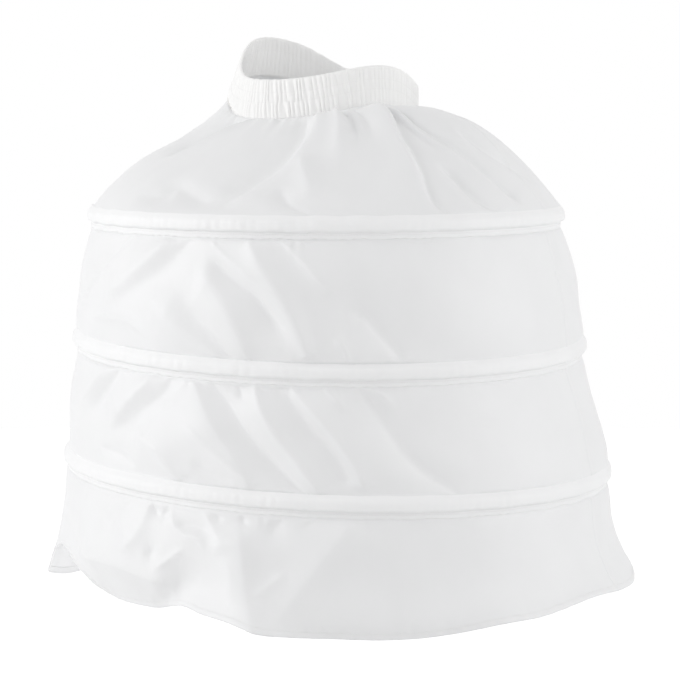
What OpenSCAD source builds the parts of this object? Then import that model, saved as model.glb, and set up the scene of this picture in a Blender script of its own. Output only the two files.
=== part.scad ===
// Hoop petticoat: four tiers of gathered cloth hung from an elastic waistband and held out by
// three flat hoops, each in its own sewn casing.
// Millimetres, +Z up, the wearer's front faces -Y. The origin is the middle of the waist opening,
// at the mean height of the waistband's centre line.

/* [Waistband] */
// Width of the relaxed waist, side to side, at the middle of the elastic
waist_w = 245; // [210:1:300]
// Depth of the relaxed waist, front to back, at the middle of the elastic
waist_d = 170; // [130:1:220]
// Height of the waistband
band_h = 50; // [36:1:70]
// Rise of the slack waistband at the wearer's back right
band_back_rise = 57; // [0:1:70]
// Rise of the slack waistband at the wearer's front left
band_front_rise = 19; // [0:1:40]
// How far the top of the slack waistband tucks in on the wearer's right
band_tuck = 20; // [0:1:30]
// Number of gathers round the waistband
gathers = 72; // [48:1:80]
// Depth of one gather
gather_depth = 1.4; // [0.4:0.1:2.5]
// Thickness of the elastic
elastic_t = 1.5; // [0.8:0.1:3]
// Depth of the seam that holds the upper tier in the foot of the waistband
band_seam = 6; // [3:0.5:9]

/* [Hoops] */
// Diameter of the upper hoop, at the middle of its strip
upper_hoop_d = 606; // [540:1:640]
// Diameter of the middle hoop, at the middle of its strip
middle_hoop_d = 656; // [620:1:690]
// Diameter of the lower hoop, at the middle of its strip
lower_hoop_d = 704; // [660:1:760]
// Width of the hoop strip
strip_w = 8; // [5:0.5:10]
// Thickness of the hoop strip
strip_t = 1.6; // [1:0.1:2]
// Length of the sleeve that joins the two ends of a hoop
sleeve_len = 42; // [24:1:70]
// Wall of the sleeve
sleeve_wall = 0.6; // [0.4:0.1:1]
// Space left between the two ends of a hoop inside the sleeve
end_space = 2; // [0.5:0.5:6]

/* [Drops below the waist] */
// Drop from the waist to the upper hoop
upper_drop = 163; // [140:1:190]
// Drop from the waist to the middle hoop
middle_drop = 322; // [290:1:350]
// Drop from the waist to the lower hoop
lower_drop = 480; // [450:1:510]
// Mean drop from the waist to the hem
hem_drop = 624; // [590:1:680]

/* [How it hangs] */
// Sway of the upper hoop towards the wearer's left
upper_sway = 6; // [-20:1:20]
// Sway of the middle hoop towards the wearer's left
middle_sway = 11; // [-20:1:25]
// Sway of the lower hoop towards the wearer's left
lower_sway = 21; // [-20:1:30]
// Sway of the hem towards the wearer's left
hem_sway = 26; // [-20:1:35]
// Dip of the middle hoop at the front, in degrees
middle_dip = 1.6; // [-3:0.1:3]
// Lean of the middle hoop down to the wearer's left, in degrees
middle_lean = 1; // [-3:0.1:3]
// Lean of the lower hoop down to the wearer's left, in degrees
lower_lean = 1.9; // [-3:0.1:3]

/* [Casings] */
// Height of the part of a casing that the hoop runs in
casing_h = 19; // [16:0.5:26]
// Height of the stitched edge below it
casing_edge = 6; // [2:0.5:9]
// Thickness of the casing tape
tape_t = 0.7; // [0.4:0.1:1]

/* [Cloth] */
// Thickness of the cloth
cloth_t = 0.8; // [0.5:0.1:1.2]
// How far the cloth bows out between two hoops
billow = 6; // [0:0.5:12]
// How far the gathered cloth puffs up beside the waistband on the wearer's left
puff = 14; // [0:1:24]
// Diameter of the hem
hem_d = 762; // [720:1:840]
// Height of the turned hem
hem_turn = 7; // [4:0.5:14]
// Thickness of the turned hem
hem_t = 1.6; // [1:0.1:3]
// How far the hem rises where it waves most
hem_wave = 14; // [0:1:20]
// How far the hem curls in at the wearer's front right
hem_curl = 24; // [0:1:40]
// Depth of the folds, as a share of their depth in the list of each tier
fold_scale = 1; // [0:0.05:1.3]

/* [Hidden] */
$fn = 96;

cloth_white = "#f2f2f3";
band_white = "#f6f5f3";
elastic_white = "#e9e7e2";
hoop_white = "#eceff0";
sleeve_grey = "#c9ccd0";

// Free space between pieces that lie against each other, beside the elastic, above and below the
// seam of the waistband, and beside the gathered edge in that seam
clear = 0.2;
elastic_clear = 0.5;
seam_clear = 0.6;
gathered_clear = 0.3;

// The three hoops, from the top: width, middle below the waist, dip at the front and lean to the side
hoop_d = [upper_hoop_d, middle_hoop_d, lower_hoop_d];
hoop_middle = [[upper_sway, 0, -upper_drop], [middle_sway, 0, -middle_drop], [lower_sway, 0, -lower_drop]];
hoop_dip = [0, middle_dip, 0];
hoop_lean = [0, middle_lean, lower_lean];
hem_middle = [hem_sway, 0, -hem_drop];

// The ends of each hoop meet at the back
sleeve_at = 90;

// Waistband section: the elastic lies in a folded strip whose two edges hold the upper tier
band_slot = elastic_t + 2 * elastic_clear;
band_stations = 2 * gathers;
elastic_stations = gathers;
cloth_stations = 96;
dome_stations = 80;
flounce_stations = 84;

// Casing section, measured outwards from the back face of the casing tape
sleeve_t = strip_t + 2 * clear + 2 * sleeve_wall;
sleeve_w = strip_w + 2 * clear + 2 * sleeve_wall;
strip_out = tape_t + clear + sleeve_t / 2;
casing_depth_at_sleeve = 2 * (tape_t + clear) + sleeve_t;
sleeve_half = sleeve_w / 2 + clear;
arch_out = (pow(casing_depth_at_sleeve, 2) + pow(sleeve_half, 2) - pow(casing_h / 2, 2))
           / (2 * casing_depth_at_sleeve);
arch_r = norm([arch_out, casing_h / 2]);
arch_span = 2 * arch_r;

// Cloth rings run behind the casings: half the space between two tiers, and the heights where the
// cloth is free of the casing's top and of its stitched edge
tier_meet = 0.5;
casing_free = 1.5;
above_casing = casing_h / 2 + casing_free;
below_casing = casing_h / 2 + casing_edge + casing_free;

// Folds: [angle at the top, angle at the foot, half width, depth], degrees and millimetres.
// Angles run from the wearer's left, which is +X, and 270 is the front. A depth below 0 is a valley.
// The waves of the slack waistband and of the hem are listed in the same way, as heights.
band_waves = [
    [131, 131, 50, band_back_rise], [98, 98, 20, band_back_rise / 8],
    [308, 308, 38, band_front_rise], [352, 352, 22, -band_front_rise / 2]];
hem_waves = [
    [174, 174, 9, -0.4], [190, 190, 9, 1.5], [224, 224, 24, 1.1], [246, 246, 7, 0.5], [262, 262, 12, -0.3],
    [297, 297, 8, -0.2], [322, 322, 12, 0.9], [351, 351, 10, -0.5],
    [44, 44, 24, 0.6], [88, 88, 20, -0.5], [134, 134, 22, 0.7]];
hem_curls = [[212, 212, 20, -hem_curl], [236, 236, 6, -hem_curl / 3]];
upper_folds = [
    [222, 176, 7, 9], [240, 230, 11, -13], [259, 244, 4, 9], [272, 262, 6, -5], [284, 276, 6, 4],
    [304, 297, 6, 7], [317, 304, 5, -7], [327, 318, 5, 6], [338, 328, 5, -6], [349, 340, 6, 6],
    for (k = [0:7]) [8 + 25 * k + 6 * sin(97 * k), 12 + 23 * k, 7, 8 * cos(180 * k)]];
second_folds = [
    [219, 185, 5, 6], [230, 202, 5, -6], [237, 251, 6, 7], [245, 260, 4, -7], [248, 268, 4, 6],
    [256, 273, 4, -6], [263, 280, 4, 3], [271, 287, 6, -4], [300, 304, 16, -2],
    for (k = [0:5]) [16 + 28 * k + 5 * sin(83 * k), 24 + 25 * k, 8, 5 * cos(180 * k)]];
third_folds = [
    [214, 190, 4, -6], [222, 195, 4, 5], [232, 208, 5, -6], [236, 252, 4, 6], [241, 258, 4, -8],
    [247, 265, 3.5, 7], [255, 270, 4, -7], [262, 275, 3.5, 5], [267, 280, 4, -4], [273, 286, 4, 4],
    [282, 298, 5, -5], [306, 312, 14, -2],
    for (k = [0:5]) [12 + 27 * k + 5 * sin(71 * k), 4 + 28 * k, 8, 5 * cos(180 * k)]];
flounce_folds = [
    [216, 212, 14, -6], [231, 235, 6, -9], [244, 247, 7, 10], [270, 256, 6, 9], [286, 280, 12, -8],
    [322, 326, 14, -5],
    for (k = [0:5]) [14 + 27 * k + 6 * sin(61 * k), 10 + 29 * k, 11, 13 * cos(180 * k)]];

// Geometry of the rings

// Angle between two directions, from -180 to 180
function turn_between(a, b) = (a - b + 540 * 3) % 360 - 180;

// Angles of the stations, closest together at the front left where the folds are finest
station_focus = 250;
function station(i, count, gathered) =
    let (even = 360 * i / count)
    even - gathered * 180 / PI * sin(even - station_focus);

// A point in a leaning hoop's own frame, moved to where that hoop hangs
function hung(hoop, p) =
    let (dip = hoop_dip[hoop], lean = hoop_lean[hoop],
         y = p.y * cos(dip) - p.z * sin(dip),
         z = p.y * sin(dip) + p.z * cos(dip))
    hoop_middle[hoop] + [p.x * cos(lean) + z * sin(lean), y, z * cos(lean) - p.x * sin(lean)];

// Radius of the back face of a casing
function casing_back(hoop) = hoop_d[hoop] / 2 - strip_out;

// A point of the cloth that lies behind a casing, at a height above the middle of the hoop
function behind_casing(hoop, angle, up, depth) =
    let (r = casing_back(hoop) - clear - depth)
    hung(hoop, [r * cos(angle), r * sin(angle), up]);

// Height of the slack waistband's centre line
band_low = -19;
function band_line(angle) = band_low + folds_at(band_waves, angle, 0);

// A point beside the waist's centre line: out from the elastic's middle, and up from its centre line
function waist_point(angle, out, up) =
    let (across = [waist_d * cos(angle), waist_w * sin(angle)],
         n = across / norm(across),
         tuck = band_tuck * (0.5 + up / band_h) * pow(0.5 - 0.5 * cos(angle), 2),
         reach = out - tuck)
    [waist_w / 2 * cos(angle) + reach * n.x, waist_d / 2 * sin(angle) + reach * n.y, band_line(angle) + up];

// Sum of a tier's folds at an angle, a share of the way down
function folds_at(folds, angle, down, i = 0) =
    i >= len(folds) ? 0 :
    let (f = folds[i], off = turn_between(angle, f[0] + (f[1] - f[0]) * down) / f[2])
    f[3] * exp(-off * off) + folds_at(folds, angle, down, i + 1);

function outward(angle) = [cos(angle), sin(angle), 0];

function mix(a, b, share) = a + (b - a) * share;

// How free the cloth is to bow, from its top edge to its foot, where it is sewn down
function held_out(down) = sqrt(4 * down * (1 - down));

// Share of the billow that each tier takes up
dome_billow = 0.25 * billow;
second_billow = billow;
third_billow = 0.4 * billow;
flounce_billow = 0.9 * billow;

// Skin of a solid whose section is a closed loop of closed rings, all with as many stations. From the
// lining's first ring on, quads are split along the other diagonal, so both faces of a thin wall that
// twists are split alike and never cross
module loop_skin(rings, lining) {
    n = len(rings[0]);
    m = len(rings);
    polyhedron(
        points = [for (ring = rings) each ring],
        faces = [for (j = [0:m - 1], i = [0:n - 1])
            let (k = (i + 1) % n, a = j * n, b = ((j + 1) % m) * n)
            each j < lining ? [[a + i, b + i, b + k], [a + i, b + k, a + k]]
                : [[a + i, b + i, a + k], [a + k, b + i, b + k]]],
        convexity = 12);
}

// Rows of a cloth tier seen from outside, top to bottom, then its lining side, bottom to top
module cloth_loop(outer, inner) {
    last = len(inner) - 1;
    color(cloth_white) loop_skin(concat(outer, [for (j = [0:last]) inner[last - j]]), len(outer));
}

// Waistband

// Strip folded over the elastic, gathered on both faces and open at its foot
module waistband_cover() {
    half = band_h / 2;
    slot = band_slot / 2;
    wall = slot + cloth_t;
    roof = half - cloth_t;
    ring = function (out, up, rib)
        [for (i = [0:band_stations - 1])
            waist_point(station(i, band_stations, 0), out + rib * (i % 2), up)];
    sections = [
        ring(wall, -half, gather_depth), ring(slot, -half, 0), ring(slot, roof, 0), ring(-slot, roof, 0),
        ring(-slot, -half, 0), ring(-wall, -half, -gather_depth), ring(-wall, half, -gather_depth),
        ring(wall, half, gather_depth)];
    color(band_white) loop_skin(sections, len(sections));
}

// Flat elastic that fills the waistband above its seam
module waist_elastic() {
    top = band_h / 2 - cloth_t - clear;
    foot = -band_h / 2 + band_seam + seam_clear;
    ring = function (out, up)
        [for (i = [0:elastic_stations - 1]) waist_point(station(i, elastic_stations, 0), out, up)];
    out = elastic_t / 2;
    sections = [ring(out, foot), ring(-out, foot), ring(-out, top), ring(out, top)];
    color(elastic_white) loop_skin(sections, len(sections));
}

// Tiers

// How sharply the gathered tier domes over: most on the wearer's left, least below the high side
// of the waistband
mean_dome = 1.65;
side_dome = 0.55;
slack_side = [[140, 140, 30, -0.35]];
function dome_power(angle) = mean_dome + side_dome * cos(angle) + folds_at(slack_side, angle, 0);

// How far it puffs up beside the waistband, which is also most on the wearer's left
puff_from = 0.06;
function puff_at(angle, down) =
    let (share = max(0, down - puff_from) / (1 - puff_from))
    puff * pow(sin(180 * sqrt(share)), 2) * pow(0.5 + 0.5 * cos(angle), 2);

dome_rows = [0, 0.07, 0.16, 0.3, 0.52, 0.78, 1];
dome_crowding = 0.3;

// The dome is sloped, so its lining lies in and down by this share of the cloth's thickness
dome_lining = 0.7;

// A point of the upper tier, a share of the way from the waistband to the upper casing
function dome_point(angle, down, depth) =
    let (top = waist_point(angle, cloth_t / 2, -band_h / 2 - seam_clear),
         foot = behind_casing(0, angle, above_casing, 0),
         flat = mix(top, foot, down),
         height = mix(top.z, foot.z, pow(down, dome_power(angle))) + puff_at(angle, down),
         bow = held_out(down) * (dome_billow + fold_scale * folds_at(upper_folds, angle, down)))
    [flat.x, flat.y, height] + outward(angle) * (bow - depth) - [0, 0, depth];

// Gathered cloth between the waistband and the upper hoop
module upper_tier() {
    angles = [for (i = [0:dome_stations - 1]) station(i, dome_stations, dome_crowding)];
    edge = band_slot / 2 - gathered_clear;
    rows = function (depth) concat(
        [[for (a = angles) waist_point(a, mix(edge, -edge, depth / cloth_t), -band_h / 2 + band_seam)]],
        [for (down = dome_rows) [for (a = angles) dome_point(a, down, depth * dome_lining)]],
        [[for (a = angles) behind_casing(0, a, tier_meet, depth)]]);
    cloth_loop(rows(0), rows(cloth_t));
}

tier_rows = [0, 0.25, 0.5, 0.75, 1];
station_crowding = 0.45;

// Cloth between two hoops, its edges behind their casings
module hoop_tier(above, below, folds, bow) {
    angles = [for (i = [0:cloth_stations - 1]) station(i, cloth_stations, station_crowding)];
    point = function (angle, down, depth)
        mix(behind_casing(above, angle, -below_casing, depth),
            behind_casing(below, angle, above_casing, depth), down)
        + outward(angle) * held_out(down) * (bow + fold_scale * folds_at(folds, angle, down));
    rows = function (depth) concat(
        [[for (a = angles) behind_casing(above, a, -tier_meet, depth)]],
        [for (down = tier_rows) [for (a = angles) point(a, down, depth)]],
        [[for (a = angles) behind_casing(below, a, tier_meet, depth)]]);
    cloth_loop(rows(0), rows(cloth_t));
}

module second_tier() { hoop_tier(0, 1, second_folds, second_billow); }

module third_tier() { hoop_tier(1, 2, third_folds, third_billow); }

// The flounce flares, curls and folds most near its hem
flare_power = 3;
curl_power = 3.5;
fold_power = 1.2;
flounce_rows = [0, 0.3, 0.55, 0.8];
hem_step = 0.01;

// Cloth that hangs free below the lower hoop and ends in a turned hem
module flounce() {
    angles = [for (i = [0:flounce_stations - 1]) station(i, flounce_stations, station_crowding)];
    hem_from = 1 - hem_turn / (hem_drop - lower_drop - below_casing);
    point = function (angle, down, depth)
        let (top = behind_casing(2, angle, -below_casing, 0),
             rise = hem_wave * folds_at(hem_waves, angle, 1),
             foot = hem_middle + outward(angle) * hem_d / 2 + [0, 0, rise],
             flat = mix(top, foot, pow(down, flare_power)),
             bow = flounce_billow * held_out(down)
                   + fold_scale * pow(down, fold_power) * folds_at(flounce_folds, angle, down)
                   + pow(down, curl_power) * folds_at(hem_curls, angle, down))
        [flat.x, flat.y, mix(top.z, foot.z, down)] + outward(angle) * (bow - depth);
    rows = function (depth, hem_depth) concat(
        [[for (a = angles) behind_casing(2, a, -tier_meet, depth)]],
        [for (down = concat(flounce_rows, hem_from)) [for (a = angles) point(a, down, depth)]],
        [for (down = [hem_from + hem_step, 1]) [for (a = angles) point(a, down, hem_depth)]]);
    cloth_loop(rows(0, (cloth_t - hem_t) / 2), rows(cloth_t, (cloth_t + hem_t) / 2));
}

// Hoops and casings

// Moves a piece drawn round the Z axis to where its hoop hangs
module hang(hoop) {
    translate(hoop_middle[hoop]) rotate([hoop_dip[hoop], hoop_lean[hoop], 0]) children();
}

// Flat section with round edges
module rounded_strip(w, t) {
    square([t, w - t], center = true);
    for (side = [-1, 1]) translate([0, side * (w - t) / 2]) circle(d = t);
}

// Arched section of a casing, inside or outside
module arch(inset) {
    intersection() {
        translate([arch_out, 0]) circle(r = arch_r - inset);
        translate([inset, -arch_r]) square([arch_span, arch_span]);
    }
}

// Tape arched over the hoop, with a flat stitched edge below it
module casing(hoop) {
    edge_foot = casing_h / 2 + casing_edge;
    color(cloth_white) hang(hoop) rotate_extrude() translate([casing_back(hoop), 0]) difference() {
        union() {
            arch(0);
            translate([0, -edge_foot]) square([tape_t, edge_foot]);
        }
        arch(tape_t);
    }
}

// Angle that a length covers on a hoop
function sweep(hoop, length) = length / (hoop_d[hoop] / 2) * 180 / PI;

// Flat strip bent round, open where its ends meet in the sleeve
module hoop_strip(hoop) {
    gap = sweep(hoop, end_space);
    color(hoop_white) hang(hoop) rotate(sleeve_at + gap / 2) rotate_extrude(angle = 360 - gap)
        translate([hoop_d[hoop] / 2, 0]) rounded_strip(strip_w, strip_t);
}

// Sleeve over the two ends of a hoop
module sleeve(hoop) {
    reach = sweep(hoop, sleeve_len);
    color(sleeve_grey) hang(hoop) rotate(sleeve_at - reach / 2) rotate_extrude(angle = reach)
        translate([hoop_d[hoop] / 2, 0]) difference() {
            rounded_strip(sleeve_w, sleeve_t);
            rounded_strip(sleeve_w - 2 * sleeve_wall, sleeve_t - 2 * sleeve_wall);
        }
}

waistband_cover();
waist_elastic();
upper_tier();
second_tier();
third_tier();
flounce();
casing(0);  // upper_casing
casing(1);  // middle_casing
casing(2);  // lower_casing
hoop_strip(0);  // upper_hoop
hoop_strip(1);  // middle_hoop
hoop_strip(2);  // lower_hoop
sleeve(0);  // upper_sleeve
sleeve(1);  // middle_sleeve
sleeve(2);  // lower_sleeve
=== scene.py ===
"""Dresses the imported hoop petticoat: waistband, cloth tiers, hoop casings, seams, stitching and studio.

Shapes are worked out in millimetres from the same driving sizes as the solids, as whole arrays over
stations (angles round the skirt, counted from the wearer's left, with 270 at the front) and rows (from
the top down). They turn into metres when a mesh is made.
"""

from __future__ import annotations

import logging
import math
from abc import ABC, abstractmethod
from dataclasses import dataclass, field
from enum import Enum

import bpy
import numpy as np
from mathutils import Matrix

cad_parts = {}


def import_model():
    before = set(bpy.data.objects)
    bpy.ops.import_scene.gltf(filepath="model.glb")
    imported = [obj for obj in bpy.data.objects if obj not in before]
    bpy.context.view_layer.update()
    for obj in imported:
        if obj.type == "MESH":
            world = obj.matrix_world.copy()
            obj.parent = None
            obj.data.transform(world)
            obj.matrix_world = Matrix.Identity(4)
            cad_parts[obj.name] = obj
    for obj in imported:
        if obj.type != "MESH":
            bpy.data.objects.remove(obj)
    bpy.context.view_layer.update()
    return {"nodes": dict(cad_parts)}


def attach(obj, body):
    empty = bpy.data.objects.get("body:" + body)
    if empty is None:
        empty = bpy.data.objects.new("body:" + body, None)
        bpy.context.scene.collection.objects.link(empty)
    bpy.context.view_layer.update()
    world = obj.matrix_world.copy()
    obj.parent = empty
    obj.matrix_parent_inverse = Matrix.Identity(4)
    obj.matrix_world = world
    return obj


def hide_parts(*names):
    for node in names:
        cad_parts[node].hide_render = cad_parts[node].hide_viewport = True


Array = np.ndarray
Place = tuple[float, float, float]
Thing = bpy.types.Object
Material = bpy.types.Material
NodeTree = bpy.types.NodeTree
Node = bpy.types.Node
Socket = bpy.types.NodeSocket
LOG = logging.getLogger("petticoat")
MM = 0.001
FLAT_MAP = "flat"
WHITE = (1.0, 1.0, 1.0, 1.0)

# Sizes shared with the solids
CLEAR = 0.2
STRIP_OUT = 2.5
TIER_MEET = 0.5
CASING_HALF = 9.5
CASING_EDGE = 6.0
TUNNEL_TOP = 11.5
TUNNEL_FOOT = 8.1
ABOVE_CASING = 11.0
BELOW_CASING = 17.0

# Heights over a hoop of the cloth edges that its casing hides
EDGE_ABOVE = (6.0, TIER_MEET)
EDGE_BELOW = (-TIER_MEET, -9.0)

# Angles in degrees: where stations crowd, the part that the photograph shows, and the side seams
STATION_FOCUS = 250.0
SEEN_FROM, SEEN_TO, SEEN_STEP = 172.0, 364.0, 0.25
SIDE_ANGLES = (334.0, 154.0)

# Lengths in millimetres: small puckers below and above a seam, and the distance from it at which folds open
PUCKER_BELOW = 13.0
PUCKER_ABOVE = 17.0
FOLD_REACH = 14.0


class Slot(Enum):
    """Material slots of the record for the cloth and the thread."""

    SKIRT = "skirt_cloth"
    BAND = "band_cloth"
    TAPE = "casing_tape"


class Hold(Enum):
    """Ways in which a sheet of cloth is held."""

    GATHERED = "gathered"
    STRETCHED = "stretched"
    HUNG = "hung"


class Kind(Enum):
    """Kinds of sockets of the shared node groups."""

    FLOAT = "NodeSocketFloat"
    VECTOR = "NodeSocketVector"


# Curves and waves


def turn_between(a: Array, b: Array) -> Array:
    """Angle from b to a, from -180 to 180 degrees."""
    return (a - b + 180.0) % 360.0 - 180.0


def ease(low: float, high: float, value: Array) -> Array:
    """Smooth step from 0 at low to 1 at high."""
    share = np.clip((value - low) / (high - low), 0.0, 1.0)
    return share * share * (3.0 - 2.0 * share)


def mix(a: Array, b: Array, share: Array) -> Array:
    """Point between a and b, a share of the way along."""
    return a + (b - a) * share


def outward(angle: Array) -> Array:
    """Level unit vectors that point out at the angles."""
    turn = np.radians(angle)
    return np.stack([np.cos(turn), np.sin(turn), np.zeros_like(turn)], axis=-1)


def held_out(down: Array) -> Array:
    """How free cloth is to bow between two sewn edges: the square root of 4 down (1 - down)."""
    return np.sqrt(np.clip(4.0 * down * (1.0 - down), 0.0, 1.0))


def running(steps: Array) -> Array:
    """Lengths walked from the start: 0, and then the sum after each step."""
    return np.concatenate([[0.0], np.cumsum(steps)])


def cells(values: Array) -> Array:
    """Values at the four corners of each cell of a grid, counted down first and then to the side."""
    return np.stack([values[:-1, :-1], values[1:, :-1], values[1:, 1:], values[:-1, 1:]], axis=2)


def station_angles(count: int, crowd: float) -> Array:
    """Angles of the stations, closest together at the front left where the folds are finest.

    Args:
        count: Number of stations round the skirt.
        crowd: How much they crowd, from 0 for even spacing to below 1.

    Returns:
        Angles in degrees, in rising order.
    """
    even = np.arange(count) * 360.0 / count
    return even - math.degrees(crowd) * np.sin(np.radians(even - STATION_FOCUS))


@dataclass(frozen=True)
class Wave:
    """A rise or dip of an edge, with a bell-shaped profile round the skirt."""

    at: float
    half_width: float
    height: float

    def __call__(self, angle: Array) -> Array:
        """Height at the angles: height times exp(-(turn / half width) squared)."""
        return self.height * np.exp(-((turn_between(angle, self.at) / self.half_width) ** 2))


@dataclass(frozen=True)
class Ripple:
    """An irregular wave that closes round the skirt.

    Attributes:
        count: Typical number of waves in a turn.
        seed: Seed of the wave numbers and phases.
        spread: How far the wave numbers spread, as a share of count.
        terms: Number of cosines that are added.
    """

    count: int
    seed: int
    spread: float = 0.25
    terms: int = 6

    def __call__(self, angle: Array, slide: Array | float = 0.0) -> Array:
        """Wave of about unit size: cosines of nearby whole numbers of waves, added up.

        Args:
            angle: Angles in degrees.
            slide: Phase in radians by which the waves slide, an array like angle or one number.

        Returns:
            Heights, with a root mean square near 1.
        """
        rng = np.random.default_rng(self.seed)
        waves = np.round(self.count * (1.0 + self.spread * rng.uniform(-1.0, 1.0, self.terms)))
        phases = rng.uniform(0.0, 2.0 * math.pi, self.terms)
        slide = np.broadcast_to(slide, np.shape(angle))[..., None]
        turns = np.radians(angle)[..., None] * waves + phases + slide
        return np.cos(turns).sum(axis=-1) / math.sqrt(self.terms / 2.0)


@dataclass(frozen=True)
class Dents:
    """Soft unevenness of slack cloth.

    Attributes:
        around: Most waves in a turn.
        along: Most waves from the top of the cloth to its foot.
        seed: Seed of the wave directions and phases.
        terms: Number of plane waves that are added.
    """

    around: int
    along: float
    seed: int
    terms: int = 12

    def __call__(self, angle: Array, down: Array) -> Array:
        """Plane waves in random directions that close round the skirt, added up to about unit size."""
        rng = np.random.default_rng(self.seed)
        turns = rng.integers(1, self.around + 1, self.terms)
        climbs = rng.uniform(-self.along, self.along, self.terms)
        phases = rng.uniform(0.0, 2.0 * math.pi, self.terms)
        waves = np.radians(angle)[..., None] * turns + 2.0 * math.pi * down[..., None] * climbs + phases
        return np.cos(waves).sum(axis=-1) / math.sqrt(self.terms / 2.0)


@dataclass(frozen=True)
class Crease:
    """A ridge of slack cloth, or a valley where its depth is below 0.

    Attributes:
        path: Share of the way down and angle of some points that it passes, from its top or its left.
        depth: Height of its crest in millimetres.
        before: Width in millimetres of the flank towards smaller angles, or below a level path.
        after: Width of the flank towards larger angles, or above a level path.
        crest: Roundness of the crest, from 0 for a sharp edge to 1 for a soft swell.
        fades: Shares of its length over which it fades in and out.
    """

    path: tuple[tuple[float, float], ...]
    depth: float
    before: float
    after: float
    crest: float = 0.4
    fades: tuple[float, float] = (0.3, 0.3)

    def way(self, radius: float, drop: float) -> Array:
        """The path as short straight pieces along a smooth cubic through its points.

        Args:
            radius: Mean radius of the tier in millimetres.
            drop: Length of its free part in millimetres.

        Returns:
            Places on the cloth laid flat: distance round, and height below 0.
        """
        points = np.array(self.path)
        ends = np.vstack([2.0 * points[0] - points[1], points, 2.0 * points[-1] - points[-2]])
        a, b, c, d = ends[:-3], ends[1:-2], ends[2:-1], ends[3:]
        t = np.linspace(0.0, 1.0, 6)[:-1, None, None]
        curve = b + 0.5 * t * (c - a + t * (2 * a - 5 * b + 4 * c - d + t * (3 * b - a - 3 * c + d)))
        line = np.vstack([curve.transpose(1, 0, 2).reshape(-1, 2), points[-1:]])
        return np.stack([np.radians(line[:, 1]) * radius, -line[:, 0] * drop], axis=-1)

    def __call__(self, angle: Array, down: Array, radius: float, drop: float, room: Array) -> Array:
        """Height of the crease over the cloth.

        Distances are measured on the cloth laid flat, as means over the pieces of the path that weigh the
        nearest ones most. With u the distance over the width of the flank, the height is depth times
        exp(c - sqrt(u squared + c squared)), faded towards both ends. Where there is little room the crease
        is low and narrow alike, so that its flanks keep their slope.

        Args:
            angle: Angles in degrees, the same in every row.
            down: Shares of the way down, an array like angle.
            radius: Mean radius of the tier in millimetres.
            drop: Length of its free part in millimetres.
            room: How far folds can open, from 0 at a seam to 1, an array like angle.

        Returns:
            Heights in millimetres.
        """
        line = self.way(radius, drop)
        turns = np.degrees(line[:, 0]) / radius
        middle = (turns.min() + turns.max()) / 2.0
        away = turn_between(angle[0], middle)
        reach = turns.max() - middle + math.degrees(6.0 * max(self.before, self.after) / radius)
        near = np.abs(away) < reach
        across, under = np.meshgrid(np.radians(middle + away[near]) * radius, -down[:, 0] * drop)
        step = np.diff(line, axis=0)
        length = np.linalg.norm(step, axis=1)
        gap_x, gap_y = across[..., None] - line[:-1, 0], under[..., None] - line[:-1, 1]
        share = np.clip((gap_x * step[:, 0] + gap_y * step[:, 1]) / length**2, 0.0, 1.0)
        miss = np.hypot(gap_x - share * step[:, 0], gap_y - share * step[:, 1])
        least = miss.min(axis=-1, keepdims=True)
        weight = np.exp((least - miss) / (0.3 + 0.15 * least))
        weight /= weight.sum(axis=-1, keepdims=True)
        run = ((np.cumsum(length) - length + share * length) / length.sum() * weight).sum(axis=-1)
        side = np.tanh(((step[:, 0] * gap_y - step[:, 1] * gap_x) / length * weight).sum(axis=-1))
        off = (miss * weight).sum(axis=-1)
        narrow = 0.12 + 0.88 * room[:, near]
        flank = off / (mix(self.before, self.after, 0.5 + 0.5 * side) * narrow)
        profile = np.exp(self.crest - np.sqrt(flank**2 + self.crest**2))
        height = np.zeros_like(angle)
        faded = ease(0.0, self.fades[0], run) * ease(0.0, self.fades[1], 1.0 - run)
        height[:, near] = self.depth * narrow * profile * faded
        return height


@dataclass(frozen=True)
class PhotoView:
    """The camera of the photograph: level across, and pitched down a little.

    Attributes:
        place: Its place in metres.
        pitch: Angle in degrees by which it looks down.
        lens: Focal length in millimetres.
        sensor: Width of its picture in millimetres.
        size: Width of its picture in pixels.
    """

    place: Place = (0.0238, -2.772, -0.027)
    pitch: float = 6.196
    lens: float = 113.66
    sensor: float = 36.0
    size: float = 680.0

    def pixels(self, points: Array) -> Array:
        """Pixels at which it sees points given in millimetres."""
        tilt = math.radians(self.pitch)
        away = points * MM - np.array(self.place)
        deep = away[..., 1] * math.cos(tilt) - away[..., 2] * math.sin(tilt)
        under = -away[..., 1] * math.sin(tilt) - away[..., 2] * math.cos(tilt)
        scale = self.size * self.lens / self.sensor
        return self.size / 2.0 + scale * np.stack([away[..., 0], under], axis=-1) / deep[..., None]


VIEW = PhotoView()


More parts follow.
